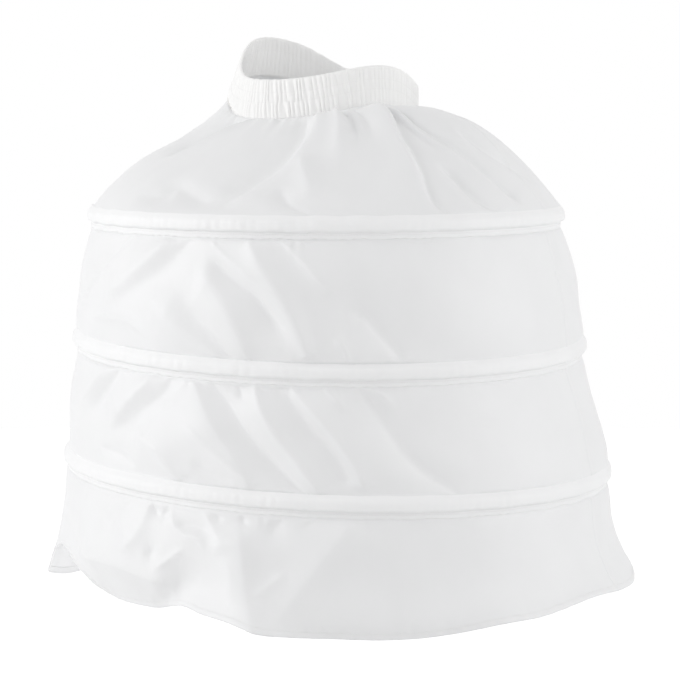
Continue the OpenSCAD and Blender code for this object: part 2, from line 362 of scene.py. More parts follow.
@dataclass(frozen=True)
class PhotoFold:
    """A fold whose line was picked in the photograph.

    Attributes:
        name: What it is there.
        pixels: Points of its line in the photograph, from its top or its left.
        depth: Height of its crest in millimetres, below 0 for a valley.
        flanks: Widths in millimetres of its left and right flanks, or lower and upper ones of a level line.
        crest: Roundness of its crest.
        fades: Shares of its length over which it fades in and out.
        from_seam: Whether it comes out of the upper seam, beyond what the camera sees.
    """

    name: str
    pixels: tuple[tuple[float, float], ...]
    depth: float
    flanks: tuple[float, float]
    crest: float = 0.4
    fades: tuple[float, float] = (0.3, 0.3)
    from_seam: bool = False

    def on_cloth(self, places: Array, seen: Array) -> Crease:
        """The crease on a tier, through the places that its pixels show and a little beyond both ends.

        Args:
            places: Share of the way down and angle of many places on the tier.
            seen: The pixel at which the camera sees each of them.

        Returns:
            The crease.
        """
        miss = np.linalg.norm(np.array(self.pixels)[:, None] - seen, axis=-1)
        path = places[miss.argmin(axis=1)]
        start, end = path[0] + 0.4 * (path[0] - path[1]), path[-1] + 0.4 * (path[-1] - path[-2])
        if self.from_seam:
            start = np.array([0.0, path[0][1]])
        points = tuple((down, angle) for down, angle in np.vstack([start, path, end]).tolist())
        return Crease(points, self.depth, *self.flanks, self.crest, self.fades)


# Places on the frame


@dataclass(frozen=True)
class Hoop:
    """A hoop as it hangs: width, place, dip at the front and lean to the side."""

    name: str
    width: float
    sway: float
    drop: float
    dip: float = 0.0
    lean: float = 0.0

    @property
    def back(self) -> float:
        """Radius of the back face of the casing tape over this hoop."""
        return self.width / 2.0 - STRIP_OUT

    def point(self, angle: Array, out: Array | float, up: Array | float) -> Array:
        """Places beside the casing.

        A point on a level ring of radius back + out, at the height up, is tipped about X by the dip and
        about Y by the lean, and moved to the middle of the hoop.

        Args:
            angle: Angles in degrees.
            out: Distance out from the back face of the casing.
            up: Height above the middle of the hoop.

        Returns:
            Points, with the coordinates on the last axis.
        """
        turn, dip, lean = np.radians(angle), math.radians(self.dip), math.radians(self.lean)
        radius = self.back + out
        x, y, z = np.broadcast_arrays(radius * np.cos(turn), radius * np.sin(turn), up)
        y, z = y * math.cos(dip) - z * math.sin(dip), y * math.sin(dip) + z * math.cos(dip)
        x, z = x * math.cos(lean) + z * math.sin(lean), z * math.cos(lean) - x * math.sin(lean)
        return np.stack([x + self.sway, y, z - self.drop], axis=-1)

    def edge(self, angle: Array, ups: tuple[float, ...]) -> Array:
        """Rows of cloth behind the casing, at heights over the middle of the hoop."""
        return np.stack([self.point(angle, -CLEAR, up) for up in ups])


@dataclass(frozen=True)
class Waist:
    """The slack waist: an oval whose height waves, tucked in at the wearer's right."""

    width: float = 245.0
    depth: float = 170.0
    height: float = 50.0
    tuck: float = 20.0
    low: float = -19.0
    waves: tuple[Wave, ...] = (
        Wave(131, 50, 57.0), Wave(98, 20, 7.125), Wave(308, 38, 19.0), Wave(352, 22, -9.5))

    def line(self, angle: Array) -> Array:
        """Height of the centre line."""
        return self.low + sum(wave(angle) for wave in self.waves)

    def foot(self, angle: Array) -> Array:
        """Height of the band's lower edge over the centre line, which is drawn up at the wearer's right."""
        return -self.height / 2.0 + Wave(188, 17, 3.0)(angle)

    def tucked(self, angle: Array) -> Array:
        """Distance by which the lower edge is drawn in at the wearer's right."""
        return Wave(184, 20, 5.0)(angle)

    def point(self, angle: Array, out: Array | float, up: Array | float) -> Array:
        """Places beside the centre line.

        Args:
            angle: Angles in degrees.
            out: Distance out from the middle of the elastic.
            up: Height above the centre line.

        Returns:
            Points, with the coordinates on the last axis.
        """
        turn = np.radians(angle)
        across = np.stack([self.depth * np.cos(turn), self.width * np.sin(turn)], axis=-1)
        normal = across / np.linalg.norm(across, axis=-1, keepdims=True)
        tuck = self.tuck * (0.5 + up / self.height) * (0.5 - 0.5 * np.cos(turn)) ** 2
        reach = out - tuck
        x = self.width / 2.0 * np.cos(turn) + reach * normal[..., 0]
        y = self.depth / 2.0 * np.sin(turn) + reach * normal[..., 1]
        return np.stack(np.broadcast_arrays(x, y, self.line(angle) + up), axis=-1)


WAIST = Waist()
UPPER = Hoop("upper", 606, 6, 163)
MIDDLE = Hoop("middle", 656, 11, 322, dip=1.6, lean=1.0)
LOWER = Hoop("lower", 704, 21, 480, lean=1.9)


# Meshes


@dataclass(frozen=True)
class Grid:
    """Cloth as rows of points round the skirt, from the top row down, in millimetres.

    Attributes:
        angles: Angles of the columns in degrees.
        points: Rows by columns by three coordinates.
    """

    angles: Array
    points: Array

    def normals(self) -> Array:
        """Unit normals: the way down crossed with the way round, which point out of the skirt."""
        round_ = np.roll(self.points, -1, axis=1) - np.roll(self.points, 1, axis=1)
        normal = np.cross(np.gradient(self.points, axis=0), round_)
        return normal / np.linalg.norm(normal, axis=-1, keepdims=True)

    def raised(self, height: Array) -> Grid:
        """The grid with each point moved out along its normal."""
        return Grid(self.angles, self.points + self.normals() * height[..., None])

    def column(self, angle: float, field_: Array) -> Array:
        """Values of a field over the grid down one angle, mixed from the two nearest columns."""
        order = np.argsort(self.angles % 360.0)
        turns = (self.angles % 360.0)[order]
        after = int(np.searchsorted(turns, angle % 360.0)) % len(turns)
        a, b = order[after - 1], order[after]
        gap = (self.angles[b] - self.angles[a]) % 360.0
        share = ((angle - self.angles[a]) % 360.0) / gap
        return mix(field_[:, a], field_[:, b], share)

    def stitched(self, row: int, thickness: float = 0.45) -> StitchRow:
        """Stitches along one row of the grid, of thread of a thickness in millimetres."""
        return StitchRow(self.points[row], self.normals()[row], thickness=thickness)

    def object(self, name: str, material: Material, width: float) -> Thing:
        """Closed tube of quads with a flat layout in metres as its UV map.

        Args:
            name: Name of the object.
            material: Its material.
            width: Width that the cloth was cut to, in metres.

        Returns:
            The linked object.
        """
        rows, columns = self.points.shape[:2]
        index = np.arange(rows * columns).reshape(rows, columns)
        quads = cells(np.concatenate([index, index[:, :1]], axis=1))
        u = np.arange(columns + 1) / columns * width
        v = -running(np.linalg.norm(np.diff(self.points, axis=0), axis=-1).mean(axis=1)) * MM
        flat = np.stack(np.meshgrid(u, v), axis=-1)
        return quad_object(name, self.points, quads, cells(flat), material)


def quad_object(name: str, points: Array, quads: Array, uv: Array, material: Material) -> Thing:
    """Smooth mesh object at the origin.

    Args:
        name: Name of the object and its mesh.
        points: Vertices in millimetres, with the coordinates on the last axis.
        quads: Four vertex numbers for each face, on the last axis.
        uv: A place in the flat layout for each corner of each face, in metres.
        material: The object's material.

    Returns:
        The object, linked to the scene.
    """
    points, quads = points.reshape(-1, 3), quads.reshape(-1, 4)
    mesh = bpy.data.meshes.new(name)
    mesh.vertices.add(len(points))
    mesh.vertices.foreach_set("co", (points * MM).astype(np.float32).ravel())
    mesh.loops.add(quads.size)
    mesh.loops.foreach_set("vertex_index", quads.astype(np.int32).ravel())
    mesh.polygons.add(len(quads))
    mesh.polygons.foreach_set("loop_start", np.arange(0, quads.size, 4, dtype=np.int32))
    mesh.update(calc_edges=True)
    mesh.polygons.foreach_set("use_smooth", np.ones(len(quads), dtype=bool))
    mesh.uv_layers.new(name=FLAT_MAP).uv.foreach_set("vector", uv.astype(np.float32).ravel())
    mesh.materials.append(material)
    mesh.validate()
    piece = bpy.data.objects.new(name, mesh)
    bpy.context.scene.collection.objects.link(piece)
    return piece


def thicken(piece: Thing, thickness: float) -> None:
    """Gives a sheet its thickness in millimetres, behind the face that was drawn."""
    solid = piece.modifiers.new("thickness", "SOLIDIFY")
    solid.thickness = thickness * MM
    solid.offset = -1.0
    solid.use_rim = True


# Materials


def preset(node: Node, values: dict[str | int, object]) -> None:
    """Sets inputs of a node, by name or by number."""
    for name, value in values.items():
        node.inputs[name].default_value = value


class NodeMaker:
    """Adds and links nodes in one tree."""

    def __init__(self, tree: NodeTree) -> None:
        """Takes the tree that the nodes go into."""
        self.tree = tree

    def add(self, kind: str, values: dict[str | int, object] | None = None, **settings: object) -> Node:
        """New node with its settings and the values of its inputs."""
        node = self.tree.nodes.new(kind)
        for name, value in settings.items():
            setattr(node, name, value)
        preset(node, values or {})
        return node

    def link(self, source: Socket, target: Socket) -> None:
        """Joins two sockets."""
        self.tree.links.new(source, target)

    def math(self, operation: str, a: Socket | float, b: Socket | float = 0.0) -> Socket:
        """Result of a Math node on two sockets or numbers."""
        node = self.add("ShaderNodeMath", operation=operation)
        for value, target in ((a, node.inputs[0]), (b, node.inputs[1])):
            if isinstance(value, Socket):
                self.link(value, target)
            else:
                target.default_value = value
        return node.outputs[0]

    def between(self, value: Socket, low: float, high: float) -> Socket:
        """Moves a value from 0..1 to low..high."""
        node = self.add("ShaderNodeMapRange", {"To Min": low, "To Max": high})
        self.link(value, node.inputs["Value"])
        return node.outputs["Result"]

    def noise(self, place: Socket, stretch: Place, scale: float, detail: float) -> Socket:
        """Noise from 0 to 1.

        Args:
            place: Places that it is read at.
            stretch: Factors that stretch these places first.
            scale: Scale of the noise.
            detail: Number of finer layers in it.

        Returns:
            The noise's socket.
        """
        stretched = self.add("ShaderNodeVectorMath", {1: stretch}, operation="MULTIPLY")
        self.link(place, stretched.inputs[0])
        node = self.add("ShaderNodeTexNoise", {"Scale": scale, "Detail": detail})
        self.link(stretched.outputs[0], node.inputs["Vector"])
        return node.outputs["Fac"]

    def bands(self, place: Socket, scale: float, direction: str) -> Socket:
        """Even bands from 0 to 1 across a direction."""
        node = self.add("ShaderNodeTexWave", {"Scale": scale}, wave_type="BANDS", bands_direction=direction)
        self.link(place, node.inputs["Vector"])
        return node.outputs["Fac"]

    def group(self, tree: NodeTree, place: Socket, values: dict[str | int, object] | None = None) -> Node:
        """A shared group, read at the places."""
        node = self.add("ShaderNodeGroup", values, node_tree=tree)
        self.link(place, node.inputs["Place"])
        return node

    def bump(self, height: Socket, strength: float, distance: float, shader: Node) -> None:
        """Lets a height of some metres bend the shader's normals."""
        node = self.add("ShaderNodeBump", {"Strength": strength, "Distance": distance})
        self.link(height, node.inputs["Height"])
        self.link(node.outputs["Normal"], shader.inputs["Normal"])


class SharedGroups:
    """Node groups that several materials use, each made once."""

    def __init__(self) -> None:
        """Makes the groups."""
        self.weave = self._weave()
        self.mottle = self._mottle()

    @staticmethod
    def _start(name: str, inputs: dict[str, Kind], outputs: dict[str, Kind]) -> tuple[NodeMaker, Node]:
        """New group with its sockets and input node.

        Args:
            name: Name of the group.
            inputs: Name and kind of each input.
            outputs: Name and kind of each output.

        Returns:
            A node maker for the group, and its input node.
        """
        tree = bpy.data.node_groups.new(name, "ShaderNodeTree")
        for way, sockets in (("INPUT", inputs), ("OUTPUT", outputs)):
            for label, kind in sockets.items():
                tree.interface.new_socket(label, in_out=way, socket_type=kind.value)
        make = NodeMaker(tree)
        return make, make.add("NodeGroupInput")

    def _weave(self) -> NodeTree:
        """Plain weave: warp and weft are rounded ridges that take turns on top, like a checkerboard."""
        make, start = self._start(
            "plain_weave", {"Place": Kind.VECTOR, "Threads": Kind.FLOAT}, {"Height": Kind.FLOAT})
        split = make.add("ShaderNodeSeparateXYZ")
        make.link(start.outputs["Place"], split.inputs[0])
        counts = [make.math("MULTIPLY", split.outputs[axis], start.outputs["Threads"]) for axis in (0, 1)]
        warp, weft = (make.math("SINE", make.math("MULTIPLY", count, math.pi)) for count in counts)
        over = make.math("GREATER_THAN", make.math("MULTIPLY", warp, weft), 0.0)
        ridge = make.add("ShaderNodeMix", data_type="FLOAT")
        make.link(over, ridge.inputs[0])
        make.link(make.math("ABSOLUTE", warp), ridge.inputs[2])
        make.link(make.math("ABSOLUTE", weft), ridge.inputs[3])
        make.link(ridge.outputs[0], make.add("NodeGroupOutput").inputs["Height"])
        return make.tree

    def _mottle(self) -> NodeTree:
        """Slubs along the threads and broad cloudy unevenness of cloth, each from 0 to 1."""
        make, start = self._start(
            "cloth_mottle", {"Place": Kind.VECTOR}, {"Cloud": Kind.FLOAT, "Slub": Kind.FLOAT})
        end = make.add("NodeGroupOutput")
        for label, stretch, scale in (("Cloud", (1.0, 1.0, 1.0), 14.0), ("Slub", (0.12, 1.0, 1.0), 900.0)):
            make.link(make.noise(start.outputs["Place"], stretch, scale, 3.0), end.inputs[label])
        return make.tree


@dataclass(frozen=True)
class Finish(ABC):
    """A material made of nodes."""

    name: str
    color: tuple[float, float, float]
    roughness: float

    @abstractmethod
    def dress(self, make: NodeMaker, shader: Node, groups: SharedGroups) -> None:
        """Adds the nodes that feed the shader."""

    def build(self, groups: SharedGroups) -> Material:
        """Makes the material.

        Args:
            groups: The shared node groups.

        Returns:
            The finished material.
        """
        material = bpy.data.materials.new(self.name)
        material.use_nodes = True
        shader = material.node_tree.nodes["Principled BSDF"]
        preset(shader, {"Roughness": self.roughness})
        self.dress(NodeMaker(material.node_tree), shader, groups)
        return material

    def shaded(self, make: NodeMaker, amount: Socket, deepest: float) -> Socket:
        """The finish's colour, darkened to the share deepest where amount is 0.

        Args:
            make: Maker of the material's nodes.
            amount: Value from 0 to 1.
            deepest: Share of the colour that is left at 0.

        Returns:
            The colour's socket.
        """
        dark = (*(c * deepest for c in self.color), 1.0)
        blend = make.add("ShaderNodeMix", {6: dark, 7: (*self.color, 1.0)}, data_type="RGBA")
        make.link(amount, blend.inputs[0])
        return blend.outputs[2]


@dataclass(frozen=True)
class ClothFinish(Finish):
    """Woven cloth: weave and slubs in its relief, and a cloudy unevenness in its colour."""

    threads: float = 2600.0
    relief: float = 0.12
    sheen: float = 0.12

    def dress(self, make: NodeMaker, shader: Node, groups: SharedGroups) -> None:
        """Weave in the bump and roughness, clouds and slubs in the colour."""
        preset(shader, {"Sheen Weight": self.sheen, "Sheen Roughness": 0.45})
        place = make.add("ShaderNodeUVMap", uv_map=FLAT_MAP).outputs["UV"]
        weave = make.group(groups.weave, place, {"Threads": self.threads}).outputs["Height"]
        mottle = make.group(groups.mottle, place)
        cloud, slub = mottle.outputs["Cloud"], mottle.outputs["Slub"]
        uneven = make.math("MULTIPLY", cloud, make.between(slub, 0.7, 1.3))
        make.link(self.shaded(make, uneven, 0.95), shader.inputs["Base Color"])
        rough = make.between(weave, self.roughness + 0.08, self.roughness - 0.05)
        make.link(rough, shader.inputs["Roughness"])
        make.bump(make.math("ADD", weave, make.math("MULTIPLY", slub, 0.6)), self.relief, 0.0001, shader)


@dataclass(frozen=True)
class ThreadFinish(Finish):
    """Sewing thread: twisted strands along each stitch."""

    def dress(self, make: NodeMaker, shader: Node, groups: SharedGroups) -> None:
        """Slanting strands in the bump, and painted shade in the grooves between them in the colour."""
        preset(shader, {"Sheen Weight": 0.2})
        place = make.add("ShaderNodeUVMap", uv_map=FLAT_MAP).outputs["UV"]
        strands = make.bands(place, 900.0, "DIAGONAL")
        # Painted shade: the colour is darkened where the strands' height is lowest, in the grooves between
        # them.
        make.link(self.shaded(make, strands, 0.9), shader.inputs["Base Color"])
        make.bump(strands, 0.3, 0.0001, shader)


@dataclass(frozen=True)
class ElasticFinish(Finish):
    """Ribbed knitted elastic: upright cords with fine loops across them."""

    ribs: float = 420.0

    def dress(self, make: NodeMaker, shader: Node, groups: SharedGroups) -> None:
        """Ribs across the height in the bump, and painted shade in the grooves between them in the colour.
        """
        preset(shader, {"Sheen Weight": 0.15})
        place = make.add("ShaderNodeTexCoord").outputs["Object"]
        ribs = make.bands(place, self.ribs, "Z")
        slub = make.group(groups.mottle, place).outputs["Slub"]
        # Painted shade: the colour is darkened where the ribs' height is lowest, in the grooves between
        # them.
        make.link(self.shaded(make, ribs, 0.88), shader.inputs["Base Color"])
        rough = make.between(slub, self.roughness - 0.1, self.roughness + 0.1)
        make.link(rough, shader.inputs["Roughness"])
        make.bump(ribs, 0.4, 0.0002, shader)


@dataclass(frozen=True)
class SteelFinish(Finish):
    """Steel, bare and brushed or under a plastic coat."""

    metallic: float = 1.0
    coat: float = 0.0
    grain: Place = (40.0, 40.0, 1600.0)

    def dress(self, make: NodeMaker, shader: Node, groups: SharedGroups) -> None:
        """Fine grain in the roughness and the bump, and clouds in the colour."""
        preset(shader, {"Metallic": self.metallic, "Coat Weight": self.coat})
        place = make.add("ShaderNodeTexCoord").outputs["Object"]
        grain = make.noise(place, self.grain, 1.0, 4.0)
        cloud = make.group(groups.mottle, place).outputs["Cloud"]
        make.link(self.shaded(make, cloud, 0.9), shader.inputs["Base Color"])
        rough = make.between(grain, self.roughness - 0.12, self.roughness + 0.12)
        make.link(rough, shader.inputs["Roughness"])
        make.bump(grain, 0.15, 0.00005, shader)


@dataclass(frozen=True)
class Palette:
    """All materials of the petticoat, made from their finishes."""

    skirt: Material
    band: Material
    tape: Material
    thread: Material
    elastic: Material
    strip: Material
    sleeve: Material

    @classmethod
    def make(cls) -> Palette:
        """Builds every material once."""
        groups = SharedGroups()
        finishes = {
            "skirt": ClothFinish("white_taffeta", (0.86, 0.862, 0.868), 0.5),
            # The waistband and the casing tape get a lighter colour than the skirt cloth: partly whiter
            # cloth, partly painted light for the extra light that falls on their tops.
            "band": ClothFinish("gathered_white_cloth", (0.93, 0.928, 0.922), 0.62, relief=0.2),
            "tape": ClothFinish(
                "white_casing_tape", (0.915, 0.916, 0.92), 0.58, threads=2000.0, relief=0.18),
            "thread": ThreadFinish("white_thread", (0.88, 0.88, 0.88), 0.5),
            "elastic": ElasticFinish("knitted_elastic", (0.8, 0.79, 0.76), 0.7),
            "strip": SteelFinish("coated_strip", (0.8, 0.81, 0.81), 0.35, metallic=0.0, coat=0.3),
            "sleeve": SteelFinish("brushed_sleeve", (0.6, 0.61, 0.62), 0.4)}
        return cls(**{part: finish.build(groups) for part, finish in finishes.items()})


# Cloth


@dataclass(frozen=True)
class Cut:
    """A sheet before it was sewn: its sizes in metres, how it is held, and its area if it flares."""

    width: float
    length: float
    hold: Hold
    area: float | None = None


@dataclass(kw_only=True)
class Tier(ABC):
    """A ring of cloth of the skirt, with its folds.

    Attributes:
        node: CAD node that it stands for, which also names it.
        cut: The sheet as it was cut.
        rests_on: Nodes that hold it; not used.
        radius: Mean radius in millimetres.
        drop: Length of its free part in millimetres.
        folds: Its folds in the photograph.
        creases: Folds that it has elsewhere.
        puckers: Height in millimetres of the small gathers below its upper seam.
        seed: Seed of its unevenness.
        broad_dents: Height in millimetres of its broad dents.
        fine_dents: Height in millimetres of its fine ones.
        stations: Number of columns round it.
        rows: Number of rows of its free part.
        crowd: How much the columns crowd at the front left.
        thickness: Thickness of the cloth in millimetres.
    """

    node: str
    cut: Cut
    rests_on: tuple[str, ...]
    radius: float
    drop: float
    folds: tuple[PhotoFold, ...]
    creases: tuple[Crease, ...]
    puckers: float
    seed: int
    broad_dents: float = 0.8
    fine_dents: float = 0.25
    stations: int = 580
    rows: int = 78
    crowd: float = 0.38
    thickness: float = 0.45
    grid: Grid = field(init=False)

    @abstractmethod
    def base(self, angle: Array, down: Array) -> Array:
        """Places on the free part without its folds."""

    @abstractmethod
    def laps(self, angle: Array) -> tuple[Array, Array]:
        """Rows that are hidden above the free part, and below it."""

    def downs(self) -> Array:
        """Shares of the way down of the rows, closer together near both edges."""
        even = np.linspace(0.0, 1.0, self.rows)
        return even - 0.09 * np.sin(2.0 * math.pi * even)

    def slack(self, down: Array) -> Array:
        """How much of a fold shows: none at the seams, and all of it about 3 mm away from them."""
        near = 3.0 / self.drop
        return ease(-0.1 * near, near, down) * ease(-0.1 * near, near, 1.0 - down)

    def room(self, down: Array) -> Array:
        """How far folds can open: 1 minus exp(-distance from the nearest seam / FOLD_REACH)."""
        return 1.0 - np.exp(-np.minimum(down, 1.0 - down) * self.drop / FOLD_REACH)

    def all_creases(self) -> list[Crease]:
        """The photograph's folds, placed where the camera sees them on the bare cloth, and the others."""
        angle, down = np.meshgrid(np.arange(SEEN_FROM, SEEN_TO, SEEN_STEP), np.linspace(0.0, 1.0, 201))
        seen = VIEW.pixels(self.base(angle, down))
        across, along = np.gradient(seen, axis=1), np.gradient(seen, axis=0)
        facing = across[..., 0] * along[..., 1] > across[..., 1] * along[..., 0]
        places = np.stack([down, angle], axis=-1)[facing]
        return [fold.on_cloth(places, seen[facing]) for fold in self.folds] + list(self.creases)

    def relief(self, angle: Array, down: Array) -> Array:
        """Height of the folds, puckers and dents over the base, in millimetres.

        Args:
            angle: Angles in degrees.
            down: Shares of the way down, an array like angle.

        Returns:
            Heights along the normals.
        """
        room = self.room(down)
        folds = sum(crease(angle, down, self.radius, self.drop, room) for crease in self.all_creases())
        broad, fine = Dents(9, 1.6, self.seed)(angle, down), Dents(26, 3.0, self.seed + 1)(angle, down)
        dents = self.broad_dents * broad + self.fine_dents * fine
        far, left = down * self.drop, self.drop - down * self.drop
        girth = 2.0 * math.pi * self.radius
        patches = ease(0.1, 1.3, Ripple(31, self.seed + 5)(angle)) * (0.25 + Wave(240, 32, 0.75)(angle))
        ripple = Ripple(int(girth / PUCKER_BELOW), self.seed + 2)(angle, 2.0 * down)
        pucker = self.puckers * patches * ripple * np.exp(-far / 9.0) * ease(0.0, 3.0, far)
        rise = Ripple(int(girth / PUCKER_ABOVE), self.seed + 3)(angle)
        above = 0.5 * self.puckers * patches * rise * np.exp(-left / 8.0) * ease(0.0, 4.0, left)
        return self.slack(down) * (folds + dents) + pucker + above

    def shape(self) -> Grid:
        """Whole grid: the hidden rows, and the free part with its folds."""
        angles = station_angles(self.stations, self.crowd)
        angle, down = np.meshgrid(angles, self.downs())
        above, below = self.laps(angles)
        points = np.concatenate([above, self.base(angle, down), below])
        height = np.pad(self.relief(angle, down), ((len(above), len(below)), (0, 0)))
        return self.lifted(Grid(angles, points), height)

    def lifted(self, grid: Grid, height: Array) -> Grid:
        """The grid with its relief, along the normals."""
        return grid.raised(height)

    def build(self, palette: Palette) -> None:
        self.grid = self.shape()
        piece = self.grid.object(f"{self.node}_cloth", palette.skirt, self.cut.width)
        thicken(piece, self.thickness)
        settle(piece, Slot.SKIRT, self.node)


def settle(piece: Thing, slot: Slot, *nodes: str) -> None:
    """Lets a piece ride on the body and lets it stand for CAD nodes.

    Args:
        piece: The piece.
        slot: The material slot it takes its finish from; not used.
        nodes: CAD nodes that it replaces, if any.
    """
    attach(piece, "root")
    if nodes:
        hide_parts(*nodes)
    LOG.info("%s: %d faces", piece.name, len(piece.data.polygons))


@dataclass(kw_only=True)
class UpperTier(Tier):
    """Gathered cloth that domes from the waistband out to the upper hoop.

    Attributes:
        hoop: The hoop at its foot.
        gathers: Height in millimetres of the gathers below the waistband.
        gather_count: Typical number of them round the waist.
        bow: Distance in millimetres by which it bows out between its seams.
        puff: Height in millimetres by which it puffs up at the wearer's left.
        straighter: Change of the power of its fall, at the back on the wearer's right.
        swell: Swelling in millimetres at the wearer's right.
    """

    hoop: Hoop = UPPER
    gathers: float = 0.8
    gather_count: int = 46
    bow: float = 1.5
    puff: float = 11.0
    straighter: Wave = Wave(150, 32, -0.45)
    swell: Wave = Wave(186, 32, 17.0)

    def base(self, angle: Array, down: Array) -> Array:
        """Places on the dome.

        Plan places run straight from the waistband to the casing. The height falls as a power of down
        that is largest at the wearer's left, where the cloth also puffs up beside the waistband. It swells
        a little at the wearer's right.
        """
        top = WAIST.point(angle, 1.6 - WAIST.tucked(angle), WAIST.foot(angle) + 0.8)
        foot = self.hoop.point(angle, -CLEAR, ABOVE_CASING)
        left = 0.5 + 0.5 * np.cos(np.radians(angle))
        power = 1.1 + 1.1 * left**2 + self.straighter(angle)
        beside = np.clip((down - 0.06) / 0.94, 0.0, 1.0)
        puff = self.puff * np.sin(math.pi * np.sqrt(beside)) ** 2 * left**3
        flat = mix(top, foot, down[..., None])
        swell = self.swell(angle) * np.sin(math.pi * down**2)
        flat[..., 2] = mix(top[..., 2], foot[..., 2], down**power) + puff + swell
        return flat + outward(angle) * (self.bow * held_out(down))[..., None]

    def laps(self, angle: Array) -> tuple[Array, Array]:
        """The gathered edge inside the waistband, and the edge behind the casing."""
        out, foot = 0.4 - WAIST.tucked(angle), WAIST.foot(angle)
        above = np.stack([WAIST.point(angle, out, foot + up) for up in (6.0, 3.0)])
        return above, self.hoop.edge(angle, EDGE_ABOVE)

    def relief(self, angle: Array, down: Array) -> Array:
        """Folds of the tier, with the gathers that run out of the waistband."""
        far = down * self.drop
        busy = 0.5 + Wave(255, 60, 0.5)(angle)
        wave = Ripple(self.gather_count, self.seed + 7, spread=0.4)(angle)
        gather = self.gathers * busy * wave * np.exp(-far / 16.0)
        return super().relief(angle, down) + gather * ease(-1.0, 5.0, far)


@dataclass(kw_only=True)
class HoopTier(Tier):
    """Cloth stretched from one hoop to the next, which billows out by some millimetres between them."""

    above: Hoop
    below: Hoop
    billow: float

    def base(self, angle: Array, down: Array) -> Array:
        """Straight lines from hoop to hoop, bowed out by the billow between the seams."""
        top = self.above.point(angle, -CLEAR, -BELOW_CASING)
        foot = self.below.point(angle, -CLEAR, ABOVE_CASING)
        bow = outward(angle) * (self.billow * held_out(down))[..., None]
        return mix(top, foot, down[..., None]) + bow

    def laps(self, angle: Array) -> tuple[Array, Array]:
        """Edges behind the two casings."""
        return self.above.edge(angle, EDGE_BELOW), self.below.edge(angle, EDGE_ABOVE)


@dataclass(kw_only=True)
class Flounce(Tier):
    """Cloth that hangs free below the lower hoop and ends in a turned hem.

    Attributes:
        hoop: The hoop that it hangs from.
        bow: Distance in millimetres by which it bows out.
        hem_width: Diameter of the hem in millimetres.
        hem_sway: Distance by which its middle lies to the wearer's left.
        hem_drop: Its depth below the waist.
        hem_wave: Height of a hem_rise of 1.
        hem_turn: Depth of the turned edge.
        hem_rows: Rows of the turned edge.
        hem_rise: Rises and dips of the hem, in units of hem_wave.
        hem_curls: Distances by which the hem curls out, or in where they are below 0.
    """

    hoop: Hoop = LOWER
    rows: int = 75
    bow: float = 5.4
    hem_width: float = 762.0
    hem_sway: float = 26.0
    hem_drop: float = 624.0
    hem_wave: float = 14.0
    hem_turn: float = 7.0
    hem_rows: int = 6
    hem_rise: tuple[Wave, ...] = (
        Wave(160, 17, -2.75), Wave(199, 9.5, 3.7), Wave(228, 8, 0.3), Wave(239.5, 6.5, 1.1),
        Wave(250, 8, 1.0), Wave(281, 20, -0.75), Wave(300, 7, 0.35), Wave(322, 12, 0.65),
        Wave(351, 10, -0.5), Wave(44, 24, 0.6), Wave(88, 20, -0.5), Wave(134, 22, 0.7))
    hem_curls: tuple[Wave, ...] = (Wave(172, 9, 12.0), Wave(214, 18, -22.0), Wave(236, 6, -6.0))

    def base(self, angle: Array, down: Array) -> Array:
        """Places on the flounce.

        It falls straight at first and flares with the third power of down to the hem, whose height
        waves, and it curls in towards the hem at the front left.
        """
        top = self.hoop.point(angle, -CLEAR, -BELOW_CASING)
        out = outward(angle)
        rise = self.hem_wave * sum(wave(angle) for wave in self.hem_rise)
        foot = out * self.hem_width / 2.0 + np.array([self.hem_sway, 0.0, -self.hem_drop])
        foot[..., 2] += rise
        flat = mix(top, foot, down[..., None] ** 3)
        flat[..., 2] = mix(top[..., 2], foot[..., 2], down)
        curl = down**3.5 * sum(wave(angle) for wave in self.hem_curls)
        return flat + out * (self.bow * held_out(down) + curl)[..., None]

    def laps(self, angle: Array) -> tuple[Array, Array]:
        """The edge behind the casing, and nothing below the hem."""
        above = self.hoop.edge(angle, EDGE_BELOW)
        return above, above[:0]

    def downs(self) -> Array:
        """Shares of the way down of the rows, closest together in the hem."""
        start = 1.0 - self.hem_turn / self.drop
        hung = np.linspace(0.0, start, self.rows - self.hem_rows + 1)
        return np.concatenate([hung, np.linspace(start, 1.0, self.hem_rows)[1:]])

    def slack(self, down: Array) -> Array:
        """Folds grow from the seam down and are free at the hem."""
        return ease(-0.01, 0.05, down) * (0.6 + 0.4 * down)

    def room(self, down: Array) -> Array:
        """Folds open from the seam down."""
        return 1.0 - np.exp(-down * self.drop / FOLD_REACH)

    def relief(self, angle: Array, down: Array) -> Array:
        """Folds of the tier, with the hem's doubled cloth standing out over its last millimetres."""
        start = 1.0 - self.hem_turn / self.drop
        wavy = 0.15 * Ripple(90, self.seed + 9)(angle) * ease(0.75, 1.0, down)
        return super().relief(angle, down) + wavy + 0.5 * ease(start - 0.004, start + 0.012, down)

    def lifted(self, grid: Grid, height: Array) -> Grid:
        """The grid with its relief, straight out, so that the hem keeps its height."""
        return Grid(grid.angles, grid.points + outward(grid.angles) * height[..., None])

    def shape(self) -> Grid:
        """The hung cloth, with its last rows turned up inside as a hem."""
        hung = super().shape()
        normal = hung.normals()
        behind = np.linspace(0.5, 1.5, self.hem_rows)[:, None, None]
        inside = hung.points[-self.hem_rows:] - behind * normal[-self.hem_rows:]
        under = hung.points[-1] - 0.75 * normal[-1] - np.array([0.0, 0.0, 0.6])
        return Grid(hung.angles, np.concatenate([hung.points, under[None], inside[::-1]]))

    def seam(self) -> StitchRow:
        """Stitches along the top of the turned hem, above its outer rows, its edge and its inner rows."""
        return self.grid.stitched(len(self.grid.points) - 2 * self.hem_rows - 1)


